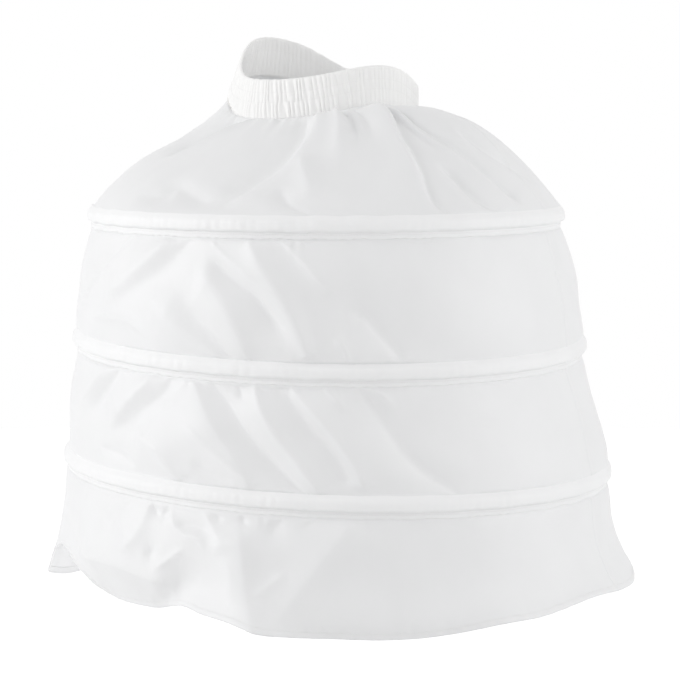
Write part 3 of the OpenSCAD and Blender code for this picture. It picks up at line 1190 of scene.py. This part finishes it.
@dataclass
class Casing:
    """Tape sewn over a hoop: an arched tunnel with a flat stitched edge below it.

    Attributes:
        hoop: The hoop inside it.
        seed: Seed of its unevenness.
        lap_at: Angle in degrees at which its end laps over its start.
        depth: Distance by which the tunnel stands out, in millimetres.
        flange_out: Distances out of the points of the flat edge.
        flange_up: Heights of these points over the middle of the hoop.
        stitch_point: Which of these points is stitched.
        tape_width: Width of the tape in metres, before it is sewn; not used.
    """

    hoop: Hoop
    seed: int
    lap_at: float
    depth: float = 6.0
    flange_out: tuple[float, ...] = (0.25, 0.2, 0.4, 0.5, 0.45, 0.2, -0.3)
    flange_up: tuple[float, ...] = (-8.4, -9.3, -10.0, -11.0, -13.2, -14.8, -16.4)
    stitch_point: int = 3
    tape_width: float = 0.036
    stations: int = 720
    thickness: float = 0.5
    grid: Grid = field(init=False)

    def section(self) -> tuple[Array, Array]:
        """Distance out and height of the section's points, from the top down.

        Above the hoop, with u the height over its reach, the tunnel stands out by the power 1.3 of 1 minus
        the power 2.2 of u, so that it runs softly into the cloth. Below, by the power 0.55 of 1 minus the
        fifth power of u, so that it turns in sharply to the seam. The flat edge's foot lies on the cloth.
        """
        top = np.cos(np.linspace(0.0, math.pi / 2.0, 12))
        low = np.sin(np.linspace(0.0, math.radians(81.0), 11))[1:]
        tunnel = self.depth * np.concatenate([(1.0 - top**2.2) ** 1.3, (1.0 - low**5) ** 0.55])
        out = np.concatenate([tunnel - 0.15, self.flange_out])
        return out, np.concatenate([TUNNEL_TOP * top, -TUNNEL_FOOT * low, self.flange_up])

    def shape(self) -> Grid:
        """The section swept round the hoop, with a slightly uneven tunnel, a wavy edge and a lapped end."""
        angles = station_angles(self.stations, 0.2)
        out, up = self.section()
        angle, out = np.meshgrid(angles, out)
        up = np.repeat(up[:, None], self.stations, axis=1)
        girth = 2.0 * math.pi * self.hoop.back
        edge = ease(CASING_HALF - 1.0, CASING_HALF + CASING_EDGE, -up)
        tunnel = np.clip(out / self.depth, 0.0, 1.0) * (1.0 - edge)
        busy = 0.4 + Wave(240, 50, 0.6)(angle)
        slow = Ripple(34, self.seed)(angle)
        fine = Ripple(int(girth / PUCKER_BELOW), self.seed + 1)(angle)
        lap = Wave(self.lap_at, 1.1, 1.0)(angle) + 0.5 * Wave(self.lap_at + 3.2, 0.5, 1.0)(angle)
        out = out + tunnel * (0.25 * slow + 0.2 * busy * fine + 0.8 * lap) + edge * busy * (0.12 * fine)
        up = up + 0.25 * slow * (1.0 - edge) + edge * (0.5 * busy * fine + 0.3 * slow)
        return Grid(angles, self.hoop.point(angle, out, up))

    def seam(self) -> StitchRow:
        """Stitches along the flat edge."""
        return self.grid.stitched(len(self.grid.points) - len(self.flange_up) + self.stitch_point)

    def build(self, palette: Palette) -> None:
        self.grid = self.shape()
        girth = round(math.pi * self.hoop.width * MM + 0.02, 3)
        piece = self.grid.object(f"{self.hoop.name}_casing_tape", palette.tape, girth)
        thicken(piece, self.thickness)
        settle(piece, Slot.TAPE, f"{self.hoop.name}_casing")


@dataclass
class Waistband:
    """Strip folded over the elastic and gathered on both faces.

    Attributes:
        gathers: Number of gathers round the waist.
        face: Distance of the faces from the middle of the elastic, between the gathers.
        depth: Height of the strongest gathers.
        bend: Height of the fold over the elastic.
        flat: Width and length of the strip in metres, before it is gathered.
        seam_lines: Heights above the middle at which rows of stitches pinch the gathers.
        pinch: Share of the gathers' height that a row of stitches takes away.
        pinch_width: How far from the row it does.
        thread: Thickness of the stitches.
        lean: Slant of the gathers at the front, in degrees per millimetre.
        strong: Extra height of the gathers at the front, as a share of depth.
        seed: Seed of the gathers' unevenness.
    """

    gathers: int = 118
    face: float = 1.6
    depth: float = 3.0
    bend: float = 1.5
    flat: tuple[float, float] = (0.8, 0.104)
    seam_lines: tuple[float, float] = (8.3, -3.8)
    pinch: float = 0.45
    pinch_width: float = 1.3
    thread: float = 0.3
    lean: Wave = Wave(252, 45, 0.08)
    strong: Wave = Wave(257, 30, 0.66)
    seed: int = 50
    stations: int = 1240
    rows: int = 17
    thickness: float = 0.45
    grid: Grid = field(init=False)

    def pleats(self, angle: Array, up: Array) -> Array:
        """Height of the gathers, from 0 in the creases to 1 on the ridges.

        The phase runs once round for each gather and wanders with slow waves. At the front the gathers
        lean, and they shift sideways across the middle seam. The half sine of the phase, made positive,
        has round ridges and sharp creases, each seam line pinches it, and it dies away towards the fold.
        """
        wander = 0.8 * Ripple(23, self.seed + 1)(angle) + 0.6 * Ripple(9, self.seed + 2)(angle)
        lean = self.lean(angle) * up + 0.5 * Ripple(31, self.seed + 3)(angle) * up / self.gathers
        shift = 0.7 * Ripple(37, self.seed + 9)(angle) * np.tanh((up - self.seam_lines[1]) / 1.5)
        phase = self.gathers * np.radians(angle + lean) + wander + shift
        ridge = np.abs(np.sin(phase / 2.0))
        size = np.clip(0.75 + 0.22 * Ripple(41, self.seed + 5)(angle), 0.45, 1.15)
        bells = (np.exp(-(((up - line) / self.pinch_width) ** 2)) for line in self.seam_lines)
        pinch = 1.0 - sum(self.pinch * bell for bell in bells)
        return ridge * size * pinch * (1.0 - 0.75 * ease(20.0, 25.0, up))

    def rise(self) -> Array:
        """Heights of the rows of one face over the middle of the elastic, from its foot to the fold."""
        half = WAIST.height / 2.0
        return np.linspace(-half, half - self.bend, self.rows)

    def shape(self) -> Grid:
        """The strip up its inner face, over the fold and down its outer face, drawn in at its foot."""
        angles = station_angles(self.stations, 0.25)
        half = WAIST.height / 2.0
        rise = self.rise()
        fold = np.linspace(math.pi, 0.0, 7)[1:-1]
        up = np.concatenate([rise, half - self.bend + self.bend * np.sin(fold), rise[::-1]])
        side = np.concatenate([-np.ones(self.rows), np.cos(fold), np.ones(self.rows)])
        angle, up = np.meshgrid(angles, up)
        side = np.repeat(side[:, None], self.stations, axis=1)
        strong = np.where(side > 0.0, 0.22 + self.strong(angle), 0.2)
        low = ease(half - 9.0, half, -up)
        out = side * (self.face + self.depth * strong * self.pleats(angle, up)) * (1.0 - 0.45 * low)
        waved = 0.15 * Ripple(53, self.seed + 8)(angle) * np.abs(up) / half
        up = up + waved + ease(0.0, half, -up) * (WAIST.foot(angle) + half)
        return Grid(angles, WAIST.point(angle, out - low * WAIST.tucked(angle), up))

    def seams(self) -> list[StitchRow]:
        """Stitches along the seam lines of the outer face, and along the upper one of the inner face."""
        upper, lower = (int(np.abs(self.rise() - line).argmin()) for line in self.seam_lines)
        last = len(self.grid.points) - 1
        return [self.grid.stitched(row, self.thread) for row in (upper, last - upper, last - lower)]

    def build(self, palette: Palette) -> None:
        self.grid = self.shape()
        piece = self.grid.object("waistband_strip", palette.band, self.flat[0])
        thicken(piece, self.thickness)
        settle(piece, Slot.BAND, "waistband_cover")


# Sewing


@dataclass
class StitchRow:
    """One row of stitches along a closed line on cloth.

    Attributes:
        line: Points of the line in millimetres.
        normals: Outward normals at these points.
        pitch: Distance from stitch to stitch.
        length: Length of a stitch.
        thickness: Thickness of the thread.
    """

    line: Array
    normals: Array
    pitch: float = 3.4
    length: float = 2.7
    thickness: float = 0.45

    def points(self) -> Array:
        """Vertices of every stitch: four square rings along it, the end ones drawn in.

        The line is walked at even steps. At each, the tangent, the normal and their cross product carry
        the rings.
        """
        line = np.vstack([self.line, self.line[:1]])
        normals = np.vstack([self.normals, self.normals[:1]])
        walked = running(np.linalg.norm(np.diff(line, axis=0), axis=1))
        whole = walked[-1]
        middles = (np.arange(int(whole / self.pitch)) + 0.5) * whole / int(whole / self.pitch)

        def at(values: Array, places: Array) -> Array:
            """Values along the line at the places."""
            return np.stack([np.interp(places % whole, walked, values[:, k]) for k in range(3)], axis=-1)

        start, end = (at(line, middles + side * self.length / 2.0) for side in (-1.0, 1.0))
        along = (end - start) / np.linalg.norm(end - start, axis=1, keepdims=True)
        normal = at(normals, middles)
        normal -= along * (normal * along).sum(axis=1, keepdims=True)
        normal /= np.linalg.norm(normal, axis=1, keepdims=True)
        across = np.cross(along, normal)
        centre = (start + end) / 2.0
        places = np.repeat([-0.5, -0.36, 0.36, 0.5], 4) * self.length
        sizes = np.repeat([0.4, 1.0, 1.0, 0.4], 4) * self.thickness / 2.0
        corner = np.radians(45.0 + 90.0 * np.tile(np.arange(4), 4))
        sink = np.repeat([-0.3, 0.12, 0.12, -0.3], 4) * self.thickness
        return (centre[:, None] + along[:, None] * places[:, None]
                + normal[:, None] * (sizes * np.cos(corner) * 1.4 + sink)[:, None]
                + across[:, None] * (sizes * np.sin(corner) * 1.4)[:, None])


@dataclass
class Stitching:
    """Rows of stitches that become one piece of thread."""

    name: str
    slot: Slot
    rows: list[StitchRow]

    def build(self, palette: Palette) -> None:
        """Makes the thread as one mesh: each stitch has four rings of four corners, and two ends."""
        points = np.concatenate([row.points() for row in self.rows])
        ring, corner = np.meshgrid(np.arange(3), np.arange(4), indexing="ij")
        here, beside = 4 * ring + corner, 4 * ring + (corner + 1) % 4
        sides = np.stack([here, beside, beside + 4, here + 4], axis=-1).reshape(-1, 4)
        template = np.concatenate([sides, [[3, 2, 1, 0], [12, 13, 14, 15]]])
        quads = template + 16 * np.arange(len(points))[:, None, None]
        corners = np.array([[0.0, 0.0], [0.0006, 0.0], [0.0006, 0.0009], [0.0, 0.0009]])
        uv = np.tile(corners, (quads.size // 4, 1))
        settle(quad_object(self.name, points, quads, uv, palette.thread), self.slot)


@dataclass
class SideSeam:
    """Felled seam down a tier: a flat strip of doubled cloth that stands a little proud."""

    tier: Tier
    angle: float
    width: float = 7.0
    proud: float = 0.3

    def build(self, palette: Palette) -> None:
        """Makes the strip on the tier's own surface."""
        grid = self.tier.grid
        normals = grid.normals()
        share = np.array([-0.5, -0.46, -0.2, 0.2, 0.46, 0.5])
        rise = np.array([0.0, 0.8, 1.0, 1.0, 0.8, 0.0]) * self.proud
        turns = self.angle + np.degrees(share * self.width / self.tier.radius)
        columns = [grid.column(turn, grid.points) + lift * grid.column(turn, normals)
                   for turn, lift in zip(turns, rise)]
        points = np.stack(columns, axis=1)[1:-1]
        rows, count = points.shape[:2]
        quads = cells(np.arange(rows * count).reshape(rows, count))
        down = running(np.linalg.norm(np.diff(points[:, 2], axis=0), axis=1))
        flat = np.stack(np.meshgrid(share * self.width * MM, -down * MM), axis=-1)
        side = "left" if math.cos(math.radians(self.angle)) > 0 else "right"
        name = f"{self.tier.node}_{side}_seam"
        settle(quad_object(name, points, quads, cells(flat), palette.skirt), Slot.SKIRT)


@dataclass
class HoopSet:
    """The rigid pieces and the elastic inside the cloth, which keep their CAD shapes."""

    nodes: dict[str, Thing]

    def dress(self, palette: Palette) -> None:
        """Gives each CAD node its material."""
        chosen = {"hoop": palette.strip, "sleeve": palette.sleeve, "elastic": palette.elastic}
        for name, node in self.nodes.items():
            material = chosen.get(name.split("_")[-1])
            if material is None:
                continue
            node.data.materials.clear()
            node.data.materials.append(material)
            LOG.info("%s: %s", name, material.name)


# Studio


@dataclass(frozen=True)
class Lamp:
    """Square soft lamp.

    Attributes:
        name: Its name.
        place: Its place in metres.
        size: Length of its sides in metres.
        power: Its power in watts.
        aim: The place that it faces, by itself the middle of the skirt.
    """

    name: str
    place: Place
    size: float
    power: float
    aim: Place = (0.0, 0.0, -0.3)

    def build(self) -> None:
        """Makes the lamp and turns it to its aim."""
        lamp = bpy.data.lights.new(self.name, "AREA")
        lamp.shape, lamp.size, lamp.energy = "SQUARE", self.size, self.power
        thing = bpy.data.objects.new(self.name, lamp)
        away = np.array(self.place) - np.array(self.aim)
        level, turn = math.hypot(away[0], away[1]), math.atan2(away[1], away[0])
        thing.location = self.place
        thing.rotation_euler = (math.atan2(level, away[2]), 0.0, turn + math.pi / 2.0)
        bpy.context.scene.collection.objects.link(thing)


@dataclass
class Studio:
    """Floor, lights, white surroundings and camera.

    The last lamp, under the skirt, stands for light that shines through the thin cloth at the hem.
    """

    floor_height: float = -1.03
    floor_radius: float = 4.0
    floor_corners: int = 96
    ambient: float = 0.6
    lamps: tuple[Lamp, ...] = (
        Lamp("key", (-3.0, -0.9, 0.7), 2.2, 41.0),
        Lamp("fill", (3.0, -0.7, 0.5), 2.2, 26.0),
        Lamp("front", (0.2, -3.2, 1.6), 2.0, 8.0),
        Lamp("top", (0.0, -1.0, 2.4), 1.6, 4.0),
        Lamp("bounce", (1.6, -2.4, -0.95), 1.2, 1.6),
        Lamp("under", (-0.06, -0.1, -0.8), 0.2, 0.5, aim=(-0.37, -0.03, -0.6)))

    def seen(self, make: NodeMaker) -> Socket:
        """1 for rays that show the surroundings: from the camera, and by reflection or refraction."""
        path = make.add("ShaderNodeLightPath")
        mirror = make.math("MAXIMUM", path.outputs["Is Glossy Ray"], path.outputs["Is Transmission Ray"])
        return make.math("MAXIMUM", path.outputs["Is Camera Ray"], mirror)

    def build_world(self) -> None:
        """White surroundings that light the object with an even, lower level."""
        world = bpy.data.worlds.new("studio")
        world.use_nodes = True
        bpy.context.scene.world = world
        make = NodeMaker(world.node_tree)
        world.node_tree.nodes.clear()
        light = make.add("ShaderNodeBackground", {"Strength": self.ambient, "Color": WHITE})
        white = make.add("ShaderNodeBackground", {"Color": WHITE})
        blend = make.add("ShaderNodeMixShader")
        make.link(self.seen(make), blend.inputs[0])
        make.link(light.outputs[0], blend.inputs[1])
        make.link(white.outputs[0], blend.inputs[2])
        make.link(blend.outputs[0], make.add("ShaderNodeOutputWorld").inputs[0])

    def build_floor(self) -> None:
        """Pale floor, at the depth below the waist at which the petticoat is worn."""
        turns = np.linspace(0.0, 2.0 * math.pi, self.floor_corners, endpoint=False)
        x, y = self.floor_radius * np.cos(turns), self.floor_radius * np.sin(turns)
        rim = np.stack([x, y, np.full(self.floor_corners, self.floor_height)], axis=-1)
        mesh = bpy.data.meshes.new("floor")
        mesh.from_pydata(rim.tolist(), [], [list(range(self.floor_corners))])
        material = bpy.data.materials.new("pale_floor")
        material.use_nodes = True
        make = NodeMaker(material.node_tree)
        shader = material.node_tree.nodes["Principled BSDF"]
        preset(shader, {"Base Color": (0.9, 0.9, 0.9, 1.0), "Roughness": 0.9, "Specular IOR Level": 0.1})
        preset(shader, {"Emission Color": WHITE})
        make.link(make.math("MULTIPLY", self.seen(make), 0.5), shader.inputs["Emission Strength"])
        mesh.materials.append(material)
        floor = bpy.data.objects.new("floor", mesh)
        bpy.context.scene.collection.objects.link(floor)

    def build_camera(self) -> None:
        """Camera of the photograph."""
        data = bpy.data.cameras.new("photo_camera")
        data.sensor_width = VIEW.sensor
        data.lens = VIEW.lens
        camera = bpy.data.objects.new("photo_camera", data)
        camera.location = VIEW.place
        camera.rotation_euler = (math.radians(90.0 - VIEW.pitch), 0.0, 0.0)
        bpy.context.scene.collection.objects.link(camera)
        bpy.context.scene.camera = camera

    def build(self) -> None:
        """Makes everything around the object."""
        self.build_world()
        self.build_floor()
        for lamp in self.lamps:
            lamp.build()
        self.build_camera()
        bpy.context.scene.view_settings.view_transform = "Standard"


# The petticoat

# Folds of each tier as seen in the photograph: pixels of the line, depth, flanks, crest and fades
UPPER_FOLDS = (
    PhotoFold("left valley", ((253, 113), (231, 122.5), (211, 133), (191, 143.5), (169, 154)),
              -12, (22, 9), 0.35, (0.05, 0.3)),
    PhotoFold("rim of the left valley", ((256, 118), (226, 131), (197, 144), (168, 157)),
              5, (9, 7), 0.3, (0.1, 0.3)),
    PhotoFold("valley of the long ridge",
              ((306, 120), (303, 133), (293, 147), (286, 157),
               (276, 168), (258, 180), (242, 192), (224, 203)),
              -10, (42, 14), 0.2, (0.1, 0.2), True),
    PhotoFold("long ridge",
              ((318, 122), (312, 135), (302, 150), (293, 162),
               (283, 172), (266, 183), (250, 194), (232, 207)),
              8, (14, 28), 0.3, (0.1, 0.15), True),
    PhotoFold("branch", ((303, 160), (304, 175), (309, 190), (307, 200)), 7, (10, 14)),
    PhotoFold("hollow below the branch", ((281, 192), (289, 204), (306, 213)),
              -6, (12, 8), 0.4, (0.3, 0.1)),
    PhotoFold("kink over the hoop",
              ((140, 195), (160, 194), (177, 185), (193, 193), (205, 199), (222, 196), (236, 189)),
              -7.5, (22, 12)),
    PhotoFold("right ridge", ((388, 111), (395, 130), (406, 149), (415.5, 169), (427, 195)),
              9, (24, 7), 0.4, (0.1, 0.3), True),
    PhotoFold("first right line",
              ((392.5, 109.7), (400.5, 130), (411, 148.6), (421, 169), (433, 196), (446, 213)),
              -7, (6, 7), 0.25, (0.1, 0.04), True),
    PhotoFold("second right line", ((395, 112), (403, 119), (422, 135), (441, 148.6), (456, 158)),
              -6, (14, 5), 0.25, (0.4, 0.4), True),
    PhotoFold("foot of the second line", ((438, 162), (454, 172.7), (467.6, 189), (486, 206), (500, 213)),
              -8, (7, 7), 0.25, (0.3, 0.05)),
    PhotoFold("strip between the lines", ((398, 110), (420, 129), (450, 150), (478, 172), (508, 199)),
              4, (6, 5), 0.4, (0.3, 0.2), True),
    PhotoFold("third right line",
              ((400.5, 107), (416.6, 120.4), (441, 136.5), (467.6, 154),
               (488, 172.7), (508, 189), (519, 202)),
              -9, (6, 8), 0.25, (0.3, 0.08), True),
    PhotoFold("fourth right line", ((452, 125), (467.6, 138), (488, 152.6), (518.6, 171.4), (535, 183)),
              -5, (8, 10), 0.3, (0.3, 0.3)),
    PhotoFold("middle gather", ((351, 121), (356, 134), (359, 148)), -8, (8, 10), 0.5, (0.1, 0.5), True),
    PhotoFold("right gather", ((369, 123), (372, 145)), -5, (8, 8), 0.5, (0.1, 0.5), True),
    PhotoFold("left gather", ((340, 124), (337, 165)), 7, (10, 10), 0.6, (0.1, 0.5), True),
)
SECOND_FOLDS = (
    PhotoFold("left line", ((124, 243), (97, 270), (80, 294)), -7, (20, 7), 0.4, (0.1, 0.3)),
    PhotoFold("first ridge", ((169, 240), (148, 262), (128, 280), (108, 299)),
              9, (26, 17), 0.3, (0.04, 0.3)),
    PhotoFold("first valley", ((187, 243), (165, 268), (137, 287), (112, 303)),
              -6, (14, 22), 0.7, (0.04, 0.3)),
    PhotoFold("arch", ((108, 306), (136, 301), (160, 301), (182, 305)), 3, (16, 20), 0.5),
    PhotoFold("shoulder", ((147, 303), (185, 332), (220, 358)), 9, (26, 28), 0.4, (0.4, 0.05)),
    PhotoFold("second valley", ((180, 298), (203, 326), (225, 352)), -7, (26, 16), 0.5, (0.5, 0.05)),
    PhotoFold("second ridge", ((198, 270), (212, 283), (230, 313), (245, 352)),
              8, (26, 20), 0.4, (0.25, 0.04)),
    PhotoFold("third valley", ((212, 262), (232, 278.4), (254, 295), (272, 317), (289, 343)),
              -7, (16, 10), 0.4, (0.2, 0.3)),
    PhotoFold("third ridge", ((250, 243), (261, 267), (276, 289.5), (289, 313), (302, 339), (308, 355)),
              10, (20, 16), 0.35, (0.04, 0.04)),
    PhotoFold("thin ridge", ((214, 243), (226, 256), (240, 268), (256, 282)),
              2, (7, 6), 0.3, (0.05, 0.3)),
    PhotoFold("broad valley", ((272, 243), (288, 262), (300, 290), (310, 318), (318, 350)),
              -3.5, (12, 22), 0.7, (0.04, 0.1)),
    PhotoFold("fourth ridge", ((282, 240), (300, 258), (318, 278), (335, 293)),
              5, (6, 10), 0.3, (0.04, 0.4)),
    PhotoFold("low ridge", ((340, 318), (358, 322), (372, 337), (388, 355)),
              3, (24, 12), 0.3, (0.3, 0.05)),
    PhotoFold("low valley", ((346, 314), (366, 318), (380, 334), (397, 353)),
              -8, (14, 16), 0.4, (0.3, 0.05)),
    PhotoFold("small ridge", ((336, 339), (343, 348), (349, 360)), 5, (7, 6), 0.3, (0.4, 0.05)),
    PhotoFold("curl", ((97, 317), (125, 319), (136, 326), (147, 339)), 5, (8, 7), 0.3),
)
THIRD_FOLDS = (
    PhotoFold("left ridge", ((108, 370), (92, 390), (80, 405)), 5, (14, 8), 0.3, (0.1, 0.5)),
    PhotoFold("left valley", ((118, 372), (104, 390), (88, 410)), -7, (8, 14), 0.5, (0.1, 0.4)),
    PhotoFold("first ridge", ((160, 373), (150, 381), (134, 398), (114, 421)),
              7, (26, 11), 0.3, (0.04, 0.3)),
    PhotoFold("first valley", ((172, 376), (164, 392), (146, 408), (120, 428)),
              -5.5, (11, 24), 0.6, (0.04, 0.3)),
    PhotoFold("short ridge", ((188, 380), (178, 392), (168, 404)), 2, (8, 8)),
    PhotoFold("second ridge", ((195, 378), (200, 400), (214, 430), (238, 466), (248, 484)),
              7, (40, 16), 0.4, (0.04, 0.04)),
    PhotoFold("second valley", ((212, 378), (228, 404), (250, 436), (274, 464), (298, 488)),
              -7, (20, 9), 0.5, (0.04, 0.04)),
    PhotoFold("third ridge", ((254, 384), (262, 410), (276, 436), (296, 460), (316, 489)),
              9, (15, 15), 0.3, (0.04, 0.04)),
    PhotoFold("dent", ((238, 384), (242, 398)), -4, (6, 6), 0.5, (0.1, 0.5)),
    PhotoFold("third valley", ((280, 384), (294, 406), (312, 432), (330, 452), (346, 480)),
              -5, (22, 10), 0.5, (0.04, 0.1)),
    PhotoFold("fourth ridge", ((292, 384), (306, 404), (330, 432), (350, 460), (362, 487)),
              7, (10, 32), 0.4, (0.04, 0.1)),
    PhotoFold("first pucker", ((324, 386), (333, 397), (344, 410)), 5, (7, 9), 0.3, (0.05, 0.6)),
    PhotoFold("second pucker", ((369, 385), (382, 397), (396, 412)), 5, (7, 9), 0.3, (0.05, 0.6)),
    PhotoFold("right valley", ((364, 394), (388, 428), (409, 457), (428, 474), (450, 489)),
              -6.5, (14, 15), 0.5, (0.15, 0.05)),
    PhotoFold("low ridge", ((140, 434), (158, 450), (174, 474)), 9, (24, 20), 0.3, (0.3, 0.05)),
    PhotoFold("thin ridge", ((188, 426), (210, 448), (238, 472)), 2.5, (8, 6), 0.3),
    PhotoFold("low dent", ((196, 463), (212, 474), (232, 481)), -3, (9, 10), 0.5),
    PhotoFold("left dent", ((104, 448), (118, 454), (132, 463)), -4, (8, 7)),
)
FLOUNCE_FOLDS = (
    PhotoFold("pressed crease",
              ((351, 520), (339.4, 538), (324, 558.5), (309, 578.5), (292, 601), (271, 632)),
              15, (48, 42), 0.1, (0.08, 0.02)),
    PhotoFold("valley of the column", ((203, 556), (197, 572), (191, 585), (187, 596), (183, 607)),
              -8, (32, 18), 0.6, (0.6, 0.02)),
    PhotoFold("column", ((238, 522), (242, 540), (245, 556), (248.4, 586), (256, 609), (258, 628)),
              18, (45, 16), 0.4, (0.25, 0.02)),
    PhotoFold("line on the column", ((229.5, 556), (235, 571), (235, 596)), 1.5, (8, 6), 0.3),
    PhotoFold("curved ridge", ((170.7, 510), (176.4, 523.6), (188, 533), (201, 537), (207, 548)),
              7, (9, 9), 0.3, (0.05, 0.3)),
    PhotoFold("second curved ridge", ((206.7, 516), (216, 529), (222, 538.7), (220, 552)),
              4.5, (8, 14), 0.4, (0.05, 0.3)),
    PhotoFold("valley between the ridges", ((180, 525), (194, 527), (208, 531)), -5, (7, 7), 0.5),
    PhotoFold("panel ridge", ((150, 503), (146, 520), (139, 537), (128, 547)),
              9, (70, 13), 0.3, (0.04, 0.3)),
    PhotoFold("left tuck", ((152, 502), (159, 516)), -11, (8, 8), 0.4, (0.05, 0.5)),
    PhotoFold("right tuck", ((171, 501), (163, 518)), -11, (8, 8), 0.4, (0.05, 0.5)),
    PhotoFold("first sharp ridge", ((161, 567), (172, 558.5), (185, 549)), 3.5, (7, 5), 0.2),
    PhotoFold("second sharp ridge", ((260, 592), (272, 583), (285, 573)), 3.5, (7, 5), 0.2),
    PhotoFold("pocket", ((150, 553), (160, 550)), -5, (9, 9), 0.6, (0.5, 0.5)),
    PhotoFold("upper tuck line", ((72, 547), (100, 549), (130, 544)), 3, (25, 30), 0.5),
    PhotoFold("lower tuck line", ((84, 548), (112, 560.5), (138, 571), (161, 580), (173, 592)),
              17, (26, 60), 0.12, (0.3, 0.2)),
    PhotoFold("first pucker", ((284, 511), (273, 531), (266, 544)), -10, (14, 14), 0.6, (0.04, 0.6)),
    PhotoFold("second pucker", ((317, 515), (303, 527)), -9, (10, 10), 0.5, (0.04, 0.6)),
    PhotoFold("third pucker", ((217, 508), (219, 523)), -9, (8, 8), 0.5, (0.04, 0.6)),
    PhotoFold("fourth pucker", ((243, 508), (245, 528)), -10, (9, 9), 0.5, (0.04, 0.6)),
    PhotoFold("fifth pucker", ((371, 516), (388, 518)), -6, (7, 7), 0.5, (0.5, 0.5)),
    PhotoFold("smudge", ((121.5, 491), (132, 499), (125, 508), (112, 520)), -6, (10, 10), 0.6),
)

# Hollows along the hem, where the cloth turns in at the front and at the front left
HEM_CREASES = (
    Crease(((1.0, 256), (1.0, 270), (1.0, 286), (1.0, 302)), -14.0, 12, 12, 0.4),
    Crease(((1.0, 203), (1.0, 214), (1.0, 226), (1.0, 242)), -20.0, 26, 26, 0.3, (0.35, 0.35)),
)


def back_creases(
    first: float, step: float, drift: float, width: float, depth: float, count: int
) -> tuple[Crease, ...]:
    """Soft folds of the back, ridges and valleys in turn.

    Args:
        first: Angle of the first fold at the top.
        step: Angle from fold to fold.
        drift: Angle by which the first fold wanders on its way down, which changes from fold to fold.
        width: Width of the flanks in millimetres.
        depth: Height in millimetres.
        count: Number of folds.

    Returns:
        The folds.
    """
    folds = []
    for k in range(count):
        top = first + step * k + 5.0 * math.sin(1.45 * k)
        foot = top + drift * math.cos(1.1 * k)
        height = depth if k % 2 == 0 else -depth
        folds.append(Crease(((0.0, top), (1.0, foot)), height, width, width, 0.7))
    return tuple(folds)


@dataclass
class Petticoat:
    """The whole garment, over the CAD nodes of the frame."""

    nodes: dict[str, Thing]

    def tiers(self) -> tuple[UpperTier, HoopTier, HoopTier, Flounce]:
        """The four rings of cloth, from the waist down."""
        return (
            UpperTier(node="upper_tier", cut=Cut(1.92, 0.235, Hold.GATHERED, 0.40),
                      rests_on=("waistband_cover", "upper_casing"), radius=215.0, drop=215.0,
                      folds=UPPER_FOLDS, creases=back_creases(8.0, 25.0, 10.0, 34.0, 6.0, 8),
                      puckers=0.3, seed=11),
            HoopTier(node="second_tier", cut=Cut(2.07, 0.176, Hold.STRETCHED),
                     rests_on=("upper_casing", "middle_casing"), radius=315.0, drop=132.0,
                     above=UPPER, below=MIDDLE, billow=6.0,
                     folds=SECOND_FOLDS, creases=back_creases(16.0, 28.0, 12.0, 36.0, 4.5, 6),
                     puckers=0.5, seed=21),
            HoopTier(node="third_tier", cut=Cut(2.22, 0.176, Hold.STRETCHED),
                     rests_on=("middle_casing", "lower_casing"), radius=340.0, drop=132.0,
                     above=MIDDLE, below=LOWER, billow=2.4,
                     folds=THIRD_FOLDS, creases=back_creases(12.0, 27.0, 12.0, 36.0, 4.5, 6),
                     puckers=0.5, seed=31),
            Flounce(node="flounce", cut=Cut(2.4, 0.165, Hold.HUNG),
                    rests_on=("lower_casing",), radius=362.0, drop=128.0,
                    folds=FLOUNCE_FOLDS, creases=HEM_CREASES + back_creases(14.0, 28.0, 8.0, 50.0, 11.0, 6),
                    puckers=0.5, seed=41))

    def build(self, palette: Palette) -> None:
        """Makes every piece, from the waist down.

        Args:
            palette: The materials.
        """
        HoopSet(self.nodes).dress(palette)
        band = Waistband()
        band.build(palette)
        tiers = self.tiers()
        for tier in tiers:
            tier.build(palette)
        casings = [Casing(UPPER, 61, 318.0), Casing(MIDDLE, 71, 98.0), Casing(LOWER, 81, 84.0)]
        for casing in casings:
            casing.build(palette)
        for tier in tiers:
            for angle in SIDE_ANGLES:
                SideSeam(tier, angle).build(palette)
        self.sew(palette, band, tiers[-1], casings)

    def sew(self, palette: Palette, band: Waistband, flounce: Flounce, casings: list[Casing]) -> None:
        """Makes the rows of stitches on the casings, the waistband and the hem."""
        Stitching("casing_stitches", Slot.TAPE, [casing.seam() for casing in casings]).build(palette)
        Stitching("band_stitches", Slot.BAND, band.seams()).build(palette)
        Stitching("hem_stitches", Slot.SKIRT, [flounce.seam()]).build(palette)


def main() -> None:
    """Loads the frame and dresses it."""
    logging.basicConfig(level=logging.INFO, format="%(name)s %(message)s")
    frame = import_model()
    palette = Palette.make()
    Petticoat(frame["nodes"]).build(palette)
    Studio().build()


if __name__ == "__main__":
    main()
